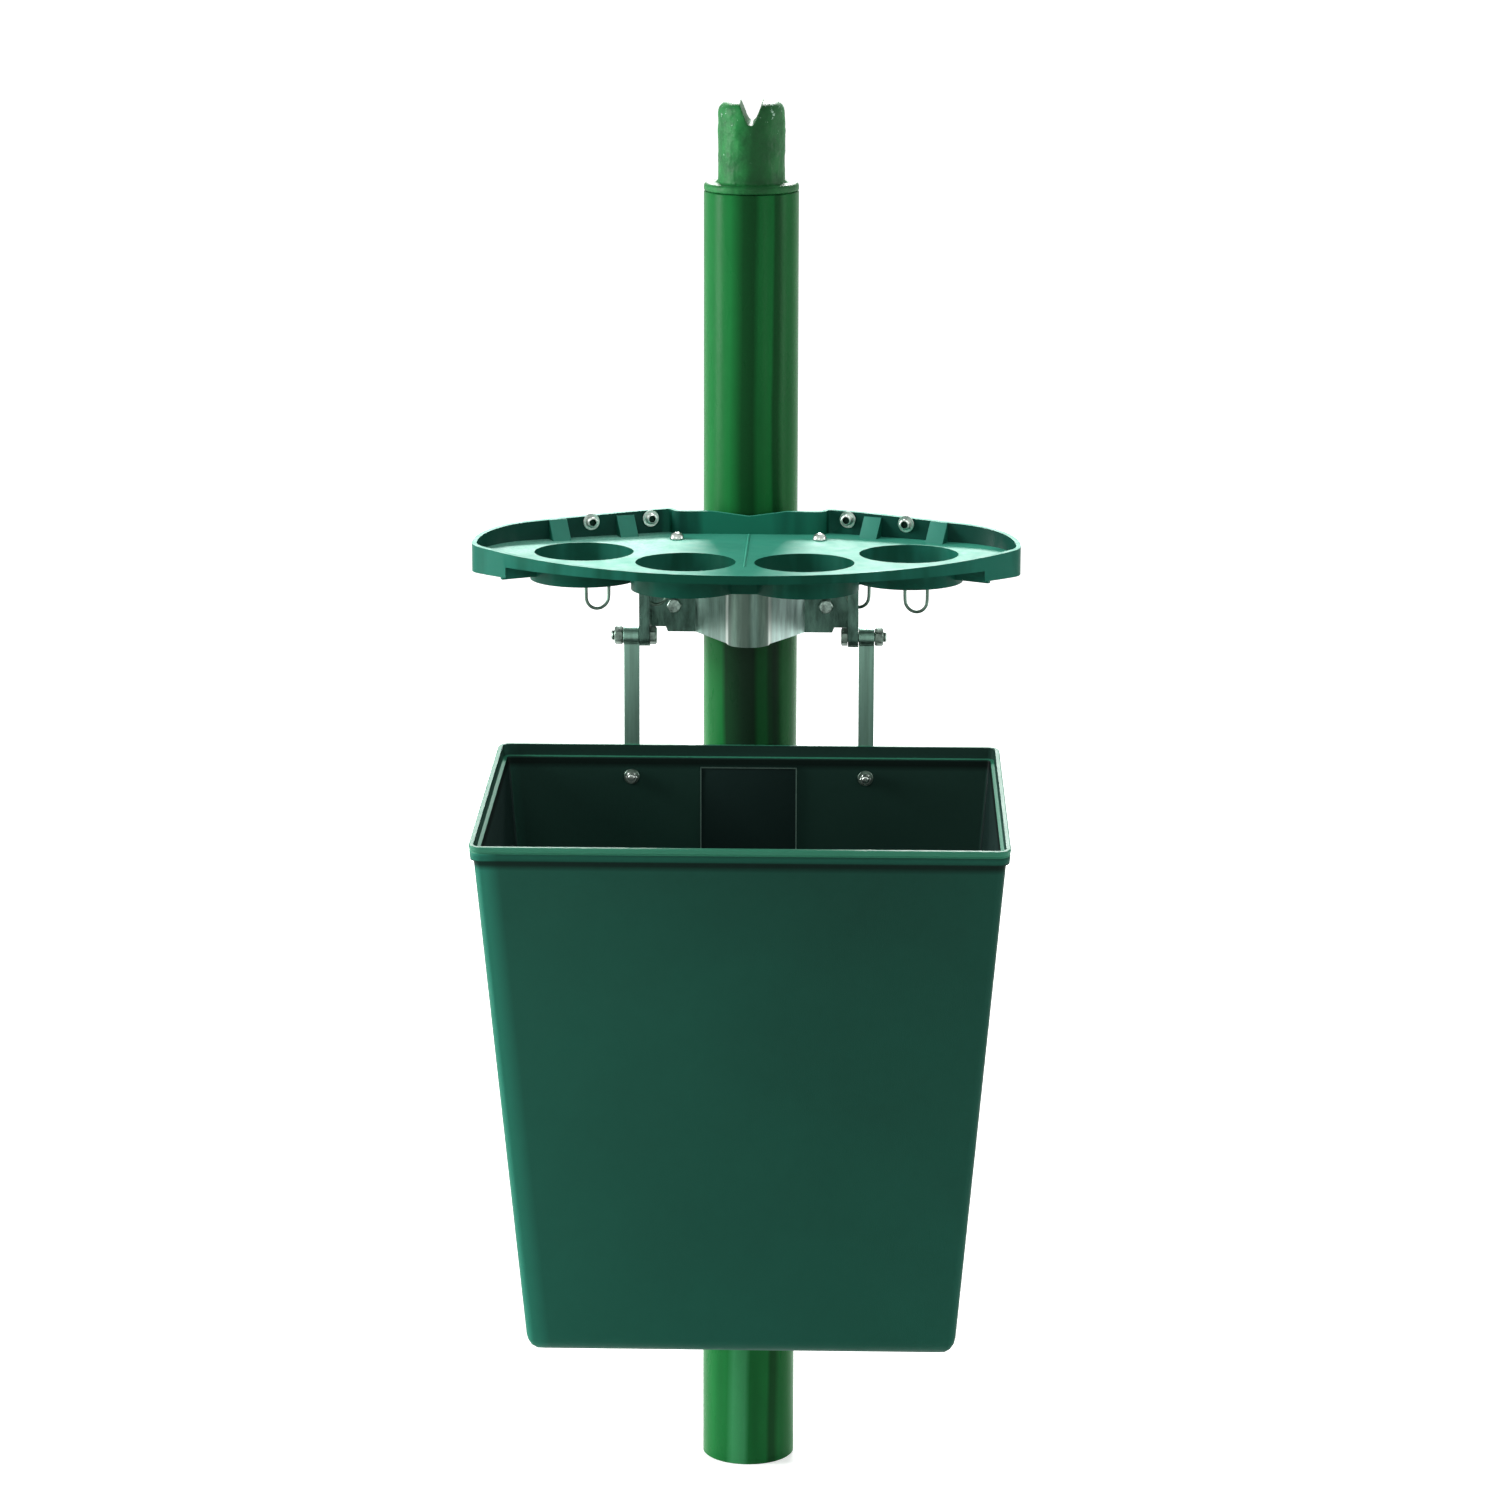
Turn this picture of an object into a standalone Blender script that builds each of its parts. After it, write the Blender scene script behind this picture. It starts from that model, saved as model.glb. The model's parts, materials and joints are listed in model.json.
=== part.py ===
"""Court caddy on a net post: a four-cup tray, four hooks and a swinging litter basket.

The post's axis is the Z axis and its foot is at z = 0. The front faces -Y, and lengths are in metres.
"""

import math

import bmesh
import bpy
from mathutils import Matrix, Vector

# Clearance that every seated piece keeps to its neighbour, and the share by which cutters overrun
SEAT = 0.0003
SPARE = 0.1

# Net post and its cast cap
POST_RADIUS = 0.0365
POST_WALL = 0.0035
POST_HEIGHT = 1.020
CAP_RING_HEIGHT = 0.0060
CAP_SPIGOT_LENGTH = 0.040
STUB_RADIUS = 0.0260
STUB_HEIGHT = 0.0625
STUB_SHOULDER = 0.0080
NOTCH_WIDTH = 0.0165
NOTCH_DEPTH = 0.0170
NOTCH_CABLE_RADIUS = 0.0030

# Clamp saddle: an upright V that hugs the post, with arms, a round nose and a top flange
SADDLE_BOTTOM_Z = 0.677
SADDLE_HEIGHT = 0.078
SADDLE_WALL = 0.0050
SADDLE_HALF_ANGLE = math.radians(30)
NOSE_RADIUS = 0.0165
NOSE_WALL = 0.0060
ARM_REAR = 0.0040
ARM_THICKNESS = 0.0060
ARM_STEP_X = 0.0640
ARM_STEP_HEIGHT = 0.0040
FLANGE_THICKNESS = 0.0050
FLANGE_FRONT = 0.0780
FLANGE_NECK = 0.0700
LUG_THICKNESS = 0.0080
LUG_INNER_X = 0.0765
LUG_REAR = 0.0415
LUG_TOP_FRONT = 0.0540
LUG_EYE_RADIUS = 0.0080
LUG_WEB_TOP_Z = 0.694

# Rear clamp and its four bolts
REAR_CLAMP_MARGIN = 0.0060
REAR_CLAMP_WALL = 0.0042
REAR_CLAMP_HALF_ANGLE = math.radians(45)
REAR_CLAMP_APEX_SHARE = 1.15
CLAMP_BOLT_X = 0.0590
CLAMP_BOLT_SPREAD = 0.0360
CLAMP_BOLT_RADIUS = 0.0030
CLAMP_HEAD_FLAT_RADIUS = 0.0051
CLAMP_HEAD_HEIGHT = 0.0039
CLAMP_NUT_HEIGHT = 0.0045
THREAD_END = 0.0015

# Cup tray, whose outline is given by its arcs
DECK_THICKNESS = 0.0050
TRAY_HALF_WIDTH = 0.2065
TRAY_FRONT = 0.2215
TRAY_WING_ARC = 0.0630
TRAY_SIDE_LENGTH = 0.0084
TIP_FILLET_SHARE = 0.9000
TRAY_REAR_SLOPE = math.radians(20.8)
TRAY_LOBE_X = 0.0600
TRAY_LOBE_STEP = 0.0088
TRAY_LOBE_FILLET = 0.0050
TRAY_POST_CLEARANCE = 0.0022
TRAY_WALL = 0.0035
RIM_REAR_HEIGHT = 0.0182
RIM_FRONT_HEIGHT = 0.0013
RIM_CURVE = 1.25
RIM_NICK_DEPTH = 0.0045
RIM_NICK_HALF_WIDTH = 0.0330
SKIRT_DEPTH = 0.0080
SKIRT_FRONT_REACH = 0.0275
SKIRT_REAR_REACH = 0.1015
TIP_WEB_DEPTH = 0.0105
MIDDLE_WEB_FORWARD = 0.0200
CUP_RADIUS = 0.0375
CUP_WELL_WALL = 0.0034
CUP_WELL_DEPTH = 0.0200
INNER_CUP = (0.0444, 0.1592)
OUTER_CUP = (0.1225, 0.1199)
GUSSET_WIDTH = 0.0140
GUSSET_REACH = 0.0120
GUSSET_HEIGHT = 0.0150
GUSSET_LEDGE = 0.0010
GUSSET_XS = (0.0965, 0.1470)

# Tray bolts with domed heads
TRAY_BOLT_X = 0.0546
TRAY_BOLT_FORWARD = 0.0640
TRAY_BOLT_RADIUS = 0.0030
TRAY_DOME_RADIUS = 0.0055
TRAY_DOME_HEIGHT = 0.0050
TRAY_NUT_FLAT_RADIUS = 0.0050
TRAY_NUT_HEIGHT = 0.0045

# Hooks and what holds them on the tray's rear wall
HOOK_WIRE = 0.0014
HOOK_SCREW_RADIUS = 0.0020
HOOK_HEAD_RADIUS = 0.0042
HOOK_HEAD_HEIGHT = 0.0030
HOOK_SOCKET_RADIUS = 0.0018
HOOK_NUT_FLAT_RADIUS = 0.0037
HOOK_NUT_HEIGHT = 0.0032
HOOK_DROP = 0.0692
HOOK_BEND = 0.0092
HOOK_TIP_RISE = 0.0130
HOOK_SCREW_XS = (0.0773, 0.1220)
HOOK_SCREW_ABOVE_DECK = 0.0115
HOOK_WASHER_RADIUS = 0.0065
HOOK_WASHER_THICKNESS = 0.0012

# Hanger straps and the pivots that they swing on
STRAP_WIDTH = 0.0120
STRAP_THICKNESS = 0.0030
STRAP_END_MARGIN = 0.0130
PIVOT_PLAY = 0.0001
STRAP_SIDE_PLAY = 0.0004
PIVOT_Z = 0.680
PIVOT_RADIUS = 0.0040
PIVOT_FLAT_RADIUS = 0.0064
PIVOT_HEAD_HEIGHT = 0.0050
PIVOT_NUT_HEIGHT = 0.0065
PIVOT_THREAD_END = 0.0025
STRAP_EYE_BORE = PIVOT_RADIUS + PIVOT_PLAY

# Litter basket, a tapered shell with its back wall upright
BASKET_RIM_Z = 0.593
BASKET_FLOOR_Z = 0.174
BASKET_TILT = math.radians(4.5)
BASKET_FRONT_TOP = 0.2925
BASKET_FRONT_FLOOR = 0.2270
BASKET_BACK_TOP_HALF = 0.1920
BASKET_BACK_FLOOR_HALF = 0.1580
BASKET_FRONT_TOP_HALF = 0.1960
BASKET_FRONT_FLOOR_HALF = 0.1620
BASKET_WALL = 0.0035
BASKET_CORNER = 0.0065
BASKET_BEND = 0.0160
LIP_HEIGHT = 0.0120
LIP_REACH = 0.0025
LEDGE_THICKNESS = 0.0025
PAD_HALF_WIDTH = 0.0375
PAD_HEIGHT = 0.0800
PAD_DROP = 0.0170
PAD_THICKNESS = 0.0012
BASKET_SCREW_DROP = 0.0250
BASKET_SCREW_RADIUS = 0.0025
BASKET_HEAD_RADIUS = 0.0047
BASKET_HEAD_HEIGHT = 0.0028
BASKET_WASHER_RADIUS = 0.0060
BASKET_WASHER_THICKNESS = 0.0012
BASKET_NUT_FLAT_RADIUS = 0.0040
BASKET_NUT_HEIGHT = 0.0040

# Places worked out from the sizes above; a distance forward of the post is positive here
SADDLE_TOP_Z = SADDLE_BOTTOM_Z + SADDLE_HEIGHT
ARM_FRONT = ARM_REAR + ARM_THICKNESS
LUG_OUTER_X = LUG_INNER_X + LUG_THICKNESS
TRAY_BOTTOM_Z = SADDLE_TOP_Z + SEAT
DECK_Z = TRAY_BOTTOM_Z + DECK_THICKNESS
CLAMP_BOLT_LOW_Z = SADDLE_BOTTOM_Z + 0.5 * SADDLE_HEIGHT - 0.5 * CLAMP_BOLT_SPREAD
CLAMP_BOLT_ZS = (CLAMP_BOLT_LOW_Z, CLAMP_BOLT_LOW_Z + CLAMP_BOLT_SPREAD)
BASKET_BACK = POST_RADIUS + SEAT
STRAP_FRONT = BASKET_BACK - SEAT
STRAP_REAR = STRAP_FRONT - STRAP_THICKNESS
PIVOT_FORWARD = STRAP_FRONT + STRAP_EYE_BORE
STRAP_INNER_X = LUG_OUTER_X + STRAP_SIDE_PLAY
STRAP_X = STRAP_INNER_X + 0.5 * STRAP_WIDTH
BASKET_SCREW_Z = BASKET_RIM_Z - BASKET_SCREW_DROP
STRAP_LENGTH = PIVOT_Z - BASKET_SCREW_Z + STRAP_END_MARGIN
TRAY_MIDDLE_REAR = POST_RADIUS + TRAY_POST_CLEARANCE
TRAY_LOBE_REAR = TRAY_MIDDLE_REAR - TRAY_LOBE_STEP
TRAY_WING_X = TRAY_HALF_WIDTH - TRAY_WING_ARC
TRAY_WING_FORWARD = (TRAY_LOBE_REAR + (TRAY_WING_X - TRAY_LOBE_X) * math.tan(TRAY_REAR_SLOPE)
                     + TRAY_WING_ARC / math.cos(TRAY_REAR_SLOPE))
TRAY_TIP_FORWARD = TRAY_WING_FORWARD + TRAY_SIDE_LENGTH
TRAY_TIP_DROP = TRAY_FRONT - TRAY_TIP_FORWARD
TRAY_FRONT_ARC = (TRAY_HALF_WIDTH ** 2 + TRAY_TIP_DROP ** 2) / (2 * TRAY_TIP_DROP)
TIP_TURN = math.acos(TRAY_HALF_WIDTH / TRAY_FRONT_ARC)
TRAY_TIP_FILLET = TIP_FILLET_SHARE * TRAY_SIDE_LENGTH / math.tan(0.5 * TIP_TURN)
SKIRT_FRONT_X = TRAY_HALF_WIDTH - SKIRT_FRONT_REACH
SKIRT_REAR_X = TRAY_HALF_WIDTH - SKIRT_REAR_REACH
SIDES = (("left", -1), ("right", 1))

# Colours as linear RGB, with roughness and metallic value
POST_GREEN = ((0.016, 0.195, 0.045, 1.0), 0.22, 0.0)
TRAY_GREEN = ((0.012, 0.160, 0.100, 1.0), 0.35, 0.0)
BASKET_GREEN = ((0.010, 0.070, 0.045, 1.0), 0.42, 0.0)
ALUMINIUM = ((0.55, 0.57, 0.55, 1.0), 0.42, 1.0)
STEEL = ((0.62, 0.64, 0.62, 1.0), 0.28, 1.0)


def finish(name, mesh, look, place=None):
    """Put a mesh in the scene as a named object with a material of its own."""
    colour, roughness, metallic = look
    material = bpy.data.materials.new(name)
    material.use_nodes = True
    shader = material.node_tree.nodes["Principled BSDF"]
    shader.inputs["Base Color"].default_value = colour
    shader.inputs["Roughness"].default_value = roughness
    shader.inputs["Metallic"].default_value = metallic
    mesh.materials.append(material)
    part = bpy.data.objects.new(name, mesh)
    if place is not None:
        part.matrix_world = place
    bpy.context.collection.objects.link(part)
    mesh.shade_smooth()
    mesh.set_sharp_from_angle(angle=math.radians(35))
    return part


def loft(rings, closed=False):
    """Bridge rings of equally many points into one closed mesh; a closed loft meets itself."""
    bm = bmesh.new()
    loops = [[bm.verts.new(point) for point in ring] for ring in rings]
    pairs = list(zip(loops, loops[1:]))
    if closed:
        pairs.append((loops[-1], loops[0]))
    for lower, upper in pairs:
        for i in range(len(lower)):
            j = (i + 1) % len(lower)
            bm.faces.new((lower[i], lower[j], upper[j], upper[i]))
    if not closed:
        bm.faces.new(reversed(loops[0]))
        bm.faces.new(loops[-1])
    bmesh.ops.recalc_face_normals(bm, faces=bm.faces)
    mesh = bpy.data.meshes.new("loft")
    bm.to_mesh(mesh)
    bm.free()
    return mesh


def circle(radius, z, count, sides=0):
    """A ring of points at height z, round, or with as many flats as sides says."""
    points = []
    for i in range(count):
        angle = math.tau * i / count
        reach = radius
        if sides:
            turn = (angle % (math.tau / sides)) - math.pi / sides
            reach = radius / math.cos(turn)
        points.append(Vector((reach * math.cos(angle), reach * math.sin(angle), z)))
    return points


def turned(profile, count):
    """A solid of revolution from (radius, height) or (radius, height, flats) entries."""
    return loft([circle(entry[0], entry[1], count, *entry[2:]) for entry in profile])


def tube(profile, count):
    """A hollow solid of revolution, whose closed profile goes round the wall."""
    return loft([circle(entry[0], entry[1], count, *entry[2:]) for entry in profile], closed=True)


def prism(outline, low, high):
    """An outline in plan, as (x, forward) points, raised from low to high."""
    rings = [[Vector((x, -forward, z)) for x, forward in outline] for z in (low, high)]
    return loft(rings)


def slab(outline, left, right):
    """An outline seen from the side, as (forward, z) points, carried along X from left to right."""
    rings = [[Vector((x, -forward, z)) for forward, z in outline] for x in (left, right)]
    return loft(rings)


def box(x_range, forward_range, z_range):
    """A plain block."""
    (x0, x1), (f0, f1) = x_range, forward_range
    return prism([(x0, f0), (x1, f0), (x1, f1), (x0, f1)], *z_range)


def arc(centre, radius, start, end, count):
    """Points on an arc in a plane, from one angle to another."""
    angles = [start + (end - start) * i / count for i in range(count + 1)]
    return [(centre[0] + radius * math.cos(a), centre[1] + radius * math.sin(a)) for a in angles]


def filleted(corners, count=6):
    """Round the corners of an outline; each corner is (x, y, radius)."""
    points = []
    for i, (x, y, radius) in enumerate(corners):
        here = Vector((x, y))
        if radius == 0:
            points.append((x, y))
            continue
        before = Vector(corners[i - 1][:2])
        after = Vector(corners[(i + 1) % len(corners)][:2])
        back = (before - here).normalized()
        ahead = (after - here).normalized()
        half = 0.5 * back.angle(ahead)
        centre = here + (back + ahead).normalized() * radius / math.sin(half)
        start = here + back * radius / math.tan(half) - centre
        end = here + ahead * radius / math.tan(half) - centre
        sweep = start.angle_signed(end)
        first = math.atan2(start.y, start.x)
        points += arc(centre, radius, first, first - sweep, count)
    return points


def inset(outline, distance):
    """Move every edge of a closed outline inwards, given its points in order."""
    area = sum(a[0] * b[1] - b[0] * a[1] for a, b in zip(outline, outline[1:] + outline[:1]))
    side = 1 if area > 0 else -1
    points = []
    for i, point in enumerate(outline):
        here = Vector(point)
        before = (here - Vector(outline[i - 1])).normalized()
        after = (Vector(outline[(i + 1) % len(outline)]) - here).normalized()
        normal = Vector((-(before.y + after.y), before.x + after.x)).normalized() * side
        edge_normal = Vector((-after.y, after.x)) * side
        moved = here + normal * distance / max(normal.dot(edge_normal), 0.3)
        points.append((moved.x, moved.y))
    return points


def combine(target, tool_mesh, operation):
    """Cut a tool out of a piece, or join it on, and delete the tool."""
    tool = bpy.data.objects.new("tool", tool_mesh)
    bpy.context.collection.objects.link(tool)
    change = target.modifiers.new(operation, "BOOLEAN")
    change.object = tool
    change.operation = operation
    change.solver = "EXACT"
    graph = bpy.context.evaluated_depsgraph_get()
    result = bpy.data.meshes.new_from_object(target.evaluated_get(graph), depsgraph=graph)
    target.modifiers.remove(change)
    old = target.data
    target.data = result
    bpy.data.meshes.remove(old)
    bpy.data.objects.remove(tool)
    bpy.data.meshes.remove(tool_mesh)


def cut(target, tool_mesh):
    combine(target, tool_mesh, "DIFFERENCE")


def join(target, tool_mesh):
    combine(target, tool_mesh, "UNION")


def drill(target, radius, start, direction, length, count=16):
    """Bore a round hole from a start point along a direction."""
    tool = turned([(radius, 0), (radius, length)], count)
    turn = Vector((0, 0, 1)).rotation_difference(Vector(direction)).to_matrix().to_4x4()
    tool.transform(Matrix.Translation(Vector(start)) @ turn)
    cut(target, tool)


def placed(point, direction, spin=0.0):
    """The place of a fastener whose own Z axis points along a direction."""
    turn = Vector((0, 0, 1)).rotation_difference(Vector(direction)).to_matrix().to_4x4()
    return Matrix.Translation(Vector(point)) @ turn @ Matrix.Rotation(spin, 4, "Z")


def screw_mesh(shank, length, head, head_height, flats=0, dome=False, socket=0.0, count=12):
    """A screw along +Z, with its head below z = 0 and its shank above."""
    top = -head_height
    if dome:
        profile = [(head * math.sin(a), top * math.cos(a)) for a in (math.radians(d) for d in (15, 40, 65))]
        profile.append((head, 0.0))
    elif socket:
        profile = [(socket, 0.4 * top), (socket, top), (0.86 * head, top), (head, 0.75 * top), (head, 0.0)]
    else:
        profile = [(0.88 * head, top), (head, 0.85 * top, flats), (head, 0.0, flats)]
    profile += [(shank, 0.0), (shank, length - 0.3 * shank), (0.7 * shank, length)]
    return turned(profile, count)


def nut_mesh(bore, flat_radius, height, count=12):
    """A hexagon nut round the Z axis, from z = 0 up, with chamfered outer corners."""
    profile = [(bore, 0), (0.95 * flat_radius, 0), (flat_radius, 0.12 * height, 6),
               (flat_radius, 0.88 * height, 6), (0.95 * flat_radius, height), (bore, height)]
    return tube(profile, count)


def washer_mesh(bore, radius, thickness, count=16):
    """A flat washer round the Z axis, from z = 0 up."""
    return tube([(bore, 0), (radius, 0), (radius, thickness), (bore, thickness)], count)


def make_post():
    """The post tube, and the cast cap whose notch holds the net's cable."""
    inner = POST_RADIUS - POST_WALL
    profile = [(POST_RADIUS, 0), (POST_RADIUS, POST_HEIGHT), (inner, POST_HEIGHT), (inner, 0)]
    finish("post_tube", tube(profile, 56), POST_GREEN)

    ring_low = POST_HEIGHT + SEAT
    ring_top = ring_low + CAP_RING_HEIGHT
    stub_top = ring_top + STUB_HEIGHT
    spigot = inner - SEAT
    edge = 0.25 * CAP_RING_HEIGHT
    profile = [(spigot, POST_HEIGHT - CAP_SPIGOT_LENGTH), (spigot, ring_low), (POST_RADIUS, ring_low),
               (POST_RADIUS, ring_top - edge), (POST_RADIUS - edge, ring_top), (STUB_RADIUS, ring_top)]
    shoulder_centre = (STUB_RADIUS - STUB_SHOULDER, stub_top - STUB_SHOULDER)
    profile += arc(shoulder_centre, STUB_SHOULDER, 0.0, math.pi / 2, 5)
    cap = finish("post_cap", turned(profile, 48), POST_GREEN)

    half = 0.5 * NOTCH_WIDTH
    low = stub_top - NOTCH_DEPTH
    groove = arc((0.0, low + NOTCH_CABLE_RADIUS), NOTCH_CABLE_RADIUS, math.radians(200), math.radians(340), 6)
    over = stub_top + NOTCH_DEPTH
    outline = [(half, stub_top), (half, over), (-half, over), (-half, stub_top)]
    reach = 2 * STUB_RADIUS
    rings = [[Vector((x, y, z)) for x, z in outline + groove] for y in (-reach, reach)]
    cut(cap, loft(rings))


def saddle_line(distance, half_angle, forward):
    """How far out a V face lies at a place forward of the post, for its distance from the axis."""
    return (distance - forward * math.sin(half_angle)) / math.cos(half_angle)


def make_saddle():
    """The clamp saddle: V walls, nose, arms, top flange and the two pivot lugs, in one casting."""
    seat = POST_RADIUS + SEAT
    outer = seat + SADDLE_WALL
    angle = SADDLE_HALF_ANGLE
    pocket = NOSE_RADIUS - NOSE_WALL
    nose_root = (outer - NOSE_RADIUS * math.cos(angle)) / math.sin(angle)
    arm_end = LUG_OUTER_X - 0.1 * LUG_THICKNESS
    front = arc((0.0, nose_root), NOSE_RADIUS, math.pi / 2, 0.0, 8)
    front += [(saddle_line(outer, angle, ARM_FRONT), ARM_FRONT), (arm_end, ARM_FRONT)]
    pocket_root = (seat - pocket * math.cos(angle)) / math.sin(angle)
    rear = [(arm_end, ARM_REAR), (saddle_line(seat, angle, ARM_REAR), ARM_REAR)]
    rear += arc((0.0, pocket_root), pocket, 0.0, math.pi / 2, 6)
    half_top = SADDLE_TOP_Z - 0.5 * FLANGE_THICKNESS
    half = front + rear
    outline = half + [(-x, f) for x, f in reversed(half[1:-1])]
    saddle = finish("clamp_saddle", prism(outline, SADDLE_BOTTOM_Z, half_top), ALUMINIUM)

    set_back = 0.1 * SADDLE_WALL
    flange_front = [(0.0, FLANGE_FRONT), (FLANGE_NECK, FLANGE_FRONT), (arm_end, LUG_TOP_FRONT - set_back)]
    flange_front += [(arm_end, LUG_REAR), (FLANGE_NECK, LUG_REAR), (FLANGE_NECK, ARM_REAR + set_back)]
    flange_rear = [(saddle_line(seat + set_back, angle, ARM_REAR + set_back), ARM_REAR + set_back)]
    flange_rear += arc((0.0, pocket_root), pocket + set_back, 0.0, math.pi / 2, 6)
    half = flange_front + flange_rear
    outline = half + [(-x, f) for x, f in reversed(half[1:-1])]
    join(saddle, prism(outline, SADDLE_TOP_Z - FLANGE_THICKNESS, SADDLE_TOP_Z))

    step_top = SADDLE_BOTTOM_Z + ARM_STEP_HEIGHT
    step_low = SADDLE_BOTTOM_Z - ARM_STEP_HEIGHT
    slant = 0.4 * ARM_STEP_HEIGHT
    step = [(ARM_STEP_X - slant, step_low), (ARM_STEP_X + slant, step_top),
            (LUG_INNER_X - slant, step_top), (LUG_INNER_X - slant, step_low)]
    for _, side in SIDES:
        ends = (0.5 * ARM_REAR, ARM_FRONT + 0.5 * ARM_REAR)
        cut(saddle, loft([[Vector((side * x, -f, z)) for x, z in step] for f in ends]))

    lug_top = SADDLE_TOP_Z - 0.3 * FLANGE_THICKNESS
    lug_low = PIVOT_Z - LUG_EYE_RADIUS
    eye_front = PIVOT_FORWARD + LUG_EYE_RADIUS
    eye_rear = PIVOT_FORWARD - LUG_EYE_RADIUS
    rounding = 0.999 * LUG_EYE_RADIUS
    corners = [(LUG_REAR, lug_top, 0), (LUG_TOP_FRONT, lug_top, 0), (eye_front, lug_low, rounding),
               (eye_rear, lug_low, rounding), (ARM_REAR + set_back, PIVOT_Z + set_back, 0),
               (ARM_REAR + set_back, LUG_WEB_TOP_Z, 0), (LUG_REAR, LUG_WEB_TOP_Z, 0)]
    for _, side in SIDES:
        ends = sorted((side * LUG_INNER_X, side * LUG_OUTER_X))
        join(saddle, slab(filleted(corners, 8), *ends))
        start = (side * (LUG_INNER_X - LUG_THICKNESS), -PIVOT_FORWARD, PIVOT_Z)
        drill(saddle, PIVOT_RADIUS + SEAT, start, (side, 0, 0), 3 * LUG_THICKNESS)
        for z in CLAMP_BOLT_ZS:
            start = (side * CLAMP_BOLT_X, -3 * ARM_FRONT, z)
            drill(saddle, CLAMP_BOLT_RADIUS + SEAT, start, (0, 1, 0), 4 * ARM_FRONT)
        start = (side * TRAY_BOLT_X, -TRAY_BOLT_FORWARD, SADDLE_TOP_Z - 2 * FLANGE_THICKNESS)
        drill(saddle, TRAY_BOLT_RADIUS + SEAT, start, (0, 0, 1), 4 * FLANGE_THICKNESS)


def make_rear_clamp():
    """The rear half of the clamp, a shallow V with arms, and the four bolts and nuts."""
    seat = POST_RADIUS + SEAT
    angle = REAR_CLAMP_HALF_ANGLE
    low = SADDLE_BOTTOM_Z + REAR_CLAMP_MARGIN
    high = SADDLE_TOP_Z - REAR_CLAMP_MARGIN
    arm_end = LUG_INNER_X - SEAT
    near, far = ARM_REAR, ARM_REAR + REAR_CLAMP_WALL
    apex = REAR_CLAMP_APEX_SHARE * seat
    inner = [(arm_end, near), (saddle_line(seat, angle, near), near), (saddle_line(seat, angle, apex), apex)]
    deep = seat + REAR_CLAMP_WALL
    back = apex + REAR_CLAMP_WALL
    outer = [(saddle_line(deep, angle, back), back), (saddle_line(deep, angle, far), far), (arm_end, far)]
    half = inner + [(-x, f) for x, f in reversed(inner)]
    rest = [(-x, f) for x, f in reversed(outer)] + outer
    outline = [(x, -f) for x, f in half + rest]
    clamp = finish("rear_clamp", prism(outline, low, high), ALUMINIUM)

    head_seat = ARM_FRONT + SEAT
    length = head_seat + far + SEAT + CLAMP_NUT_HEIGHT + THREAD_END
    screw = screw_mesh(CLAMP_BOLT_RADIUS, length, CLAMP_HEAD_FLAT_RADIUS, CLAMP_HEAD_HEIGHT, flats=6)
    nut = nut_mesh(CLAMP_BOLT_RADIUS + SEAT, CLAMP_HEAD_FLAT_RADIUS, CLAMP_NUT_HEIGHT)
    for side_name, side in SIDES:
        for level, z in zip(("lower", "upper"), CLAMP_BOLT_ZS):
            x = side * CLAMP_BOLT_X
            drill(clamp, CLAMP_BOLT_RADIUS + SEAT, (x, 0, z), (0, 1, 0), 4 * far)
            label = f"{level}_{side_name}"
            finish(f"clamp_bolt_{label}", screw.copy(), STEEL, placed((x, -head_seat, z), (0, 1, 0)))
            finish(f"clamp_nut_{label}", nut.copy(), STEEL, placed((x, far + SEAT, z), (0, 1, 0)))


def front_edge_at(x):
    """The forward place of the tray's front edge at a distance from the middle."""
    return TRAY_FRONT - TRAY_FRONT_ARC + math.sqrt(TRAY_FRONT_ARC ** 2 - x ** 2)


def rear_wall_at(x):
    """The forward place of the tray's rear edge on its straight stretch, at a distance from the middle."""
    return TRAY_LOBE_REAR + (x - TRAY_LOBE_X) * math.tan(TRAY_REAR_SLOPE)


def tray_outline():
    """The tray's edge in plan: front arc, filleted tips, wing arcs, straight rear edges and the step."""
    front = arc((0.0, TRAY_FRONT - TRAY_FRONT_ARC), TRAY_FRONT_ARC, math.pi / 2, TIP_TURN, 14)
    half = [(x, f, 0) for x, f in front[:-1]] + [(TRAY_HALF_WIDTH, TRAY_TIP_FORWARD, TRAY_TIP_FILLET)]
    edge = arc((TRAY_WING_X, TRAY_WING_FORWARD), TRAY_WING_ARC, 0.0, TRAY_REAR_SLOPE - math.pi / 2, 10)
    half += [(x, f, 0) for x, f in edge]
    half += [(TRAY_LOBE_X, TRAY_LOBE_REAR, TRAY_LOBE_FILLET),
             (TRAY_LOBE_X - TRAY_LOBE_FILLET, TRAY_MIDDLE_REAR, TRAY_LOBE_FILLET)]
    corners = half + [(-x, f, r) for x, f, r in reversed(half[1:])]
    return filleted(corners)


def rim_height(forward):
    """The rim's height over the deck, which falls in a curve from the rear to the front."""
    share = min(max((TRAY_FRONT - forward) / (TRAY_FRONT - TRAY_MIDDLE_REAR), 0.0), 1.0)
    return RIM_FRONT_HEIGHT + (RIM_REAR_HEIGHT - RIM_FRONT_HEIGHT) * share ** RIM_CURVE


def wall_frame(x, side):
    """The outer face of the rear wall at one hook: its place and the direction out of it."""
    normal = Vector((side * math.sin(TRAY_REAR_SLOPE), math.cos(TRAY_REAR_SLOPE), 0.0))
    point = Vector((side * x, -rear_wall_at(x), DECK_Z + HOOK_SCREW_ABOVE_DECK))
    return point, normal


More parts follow.
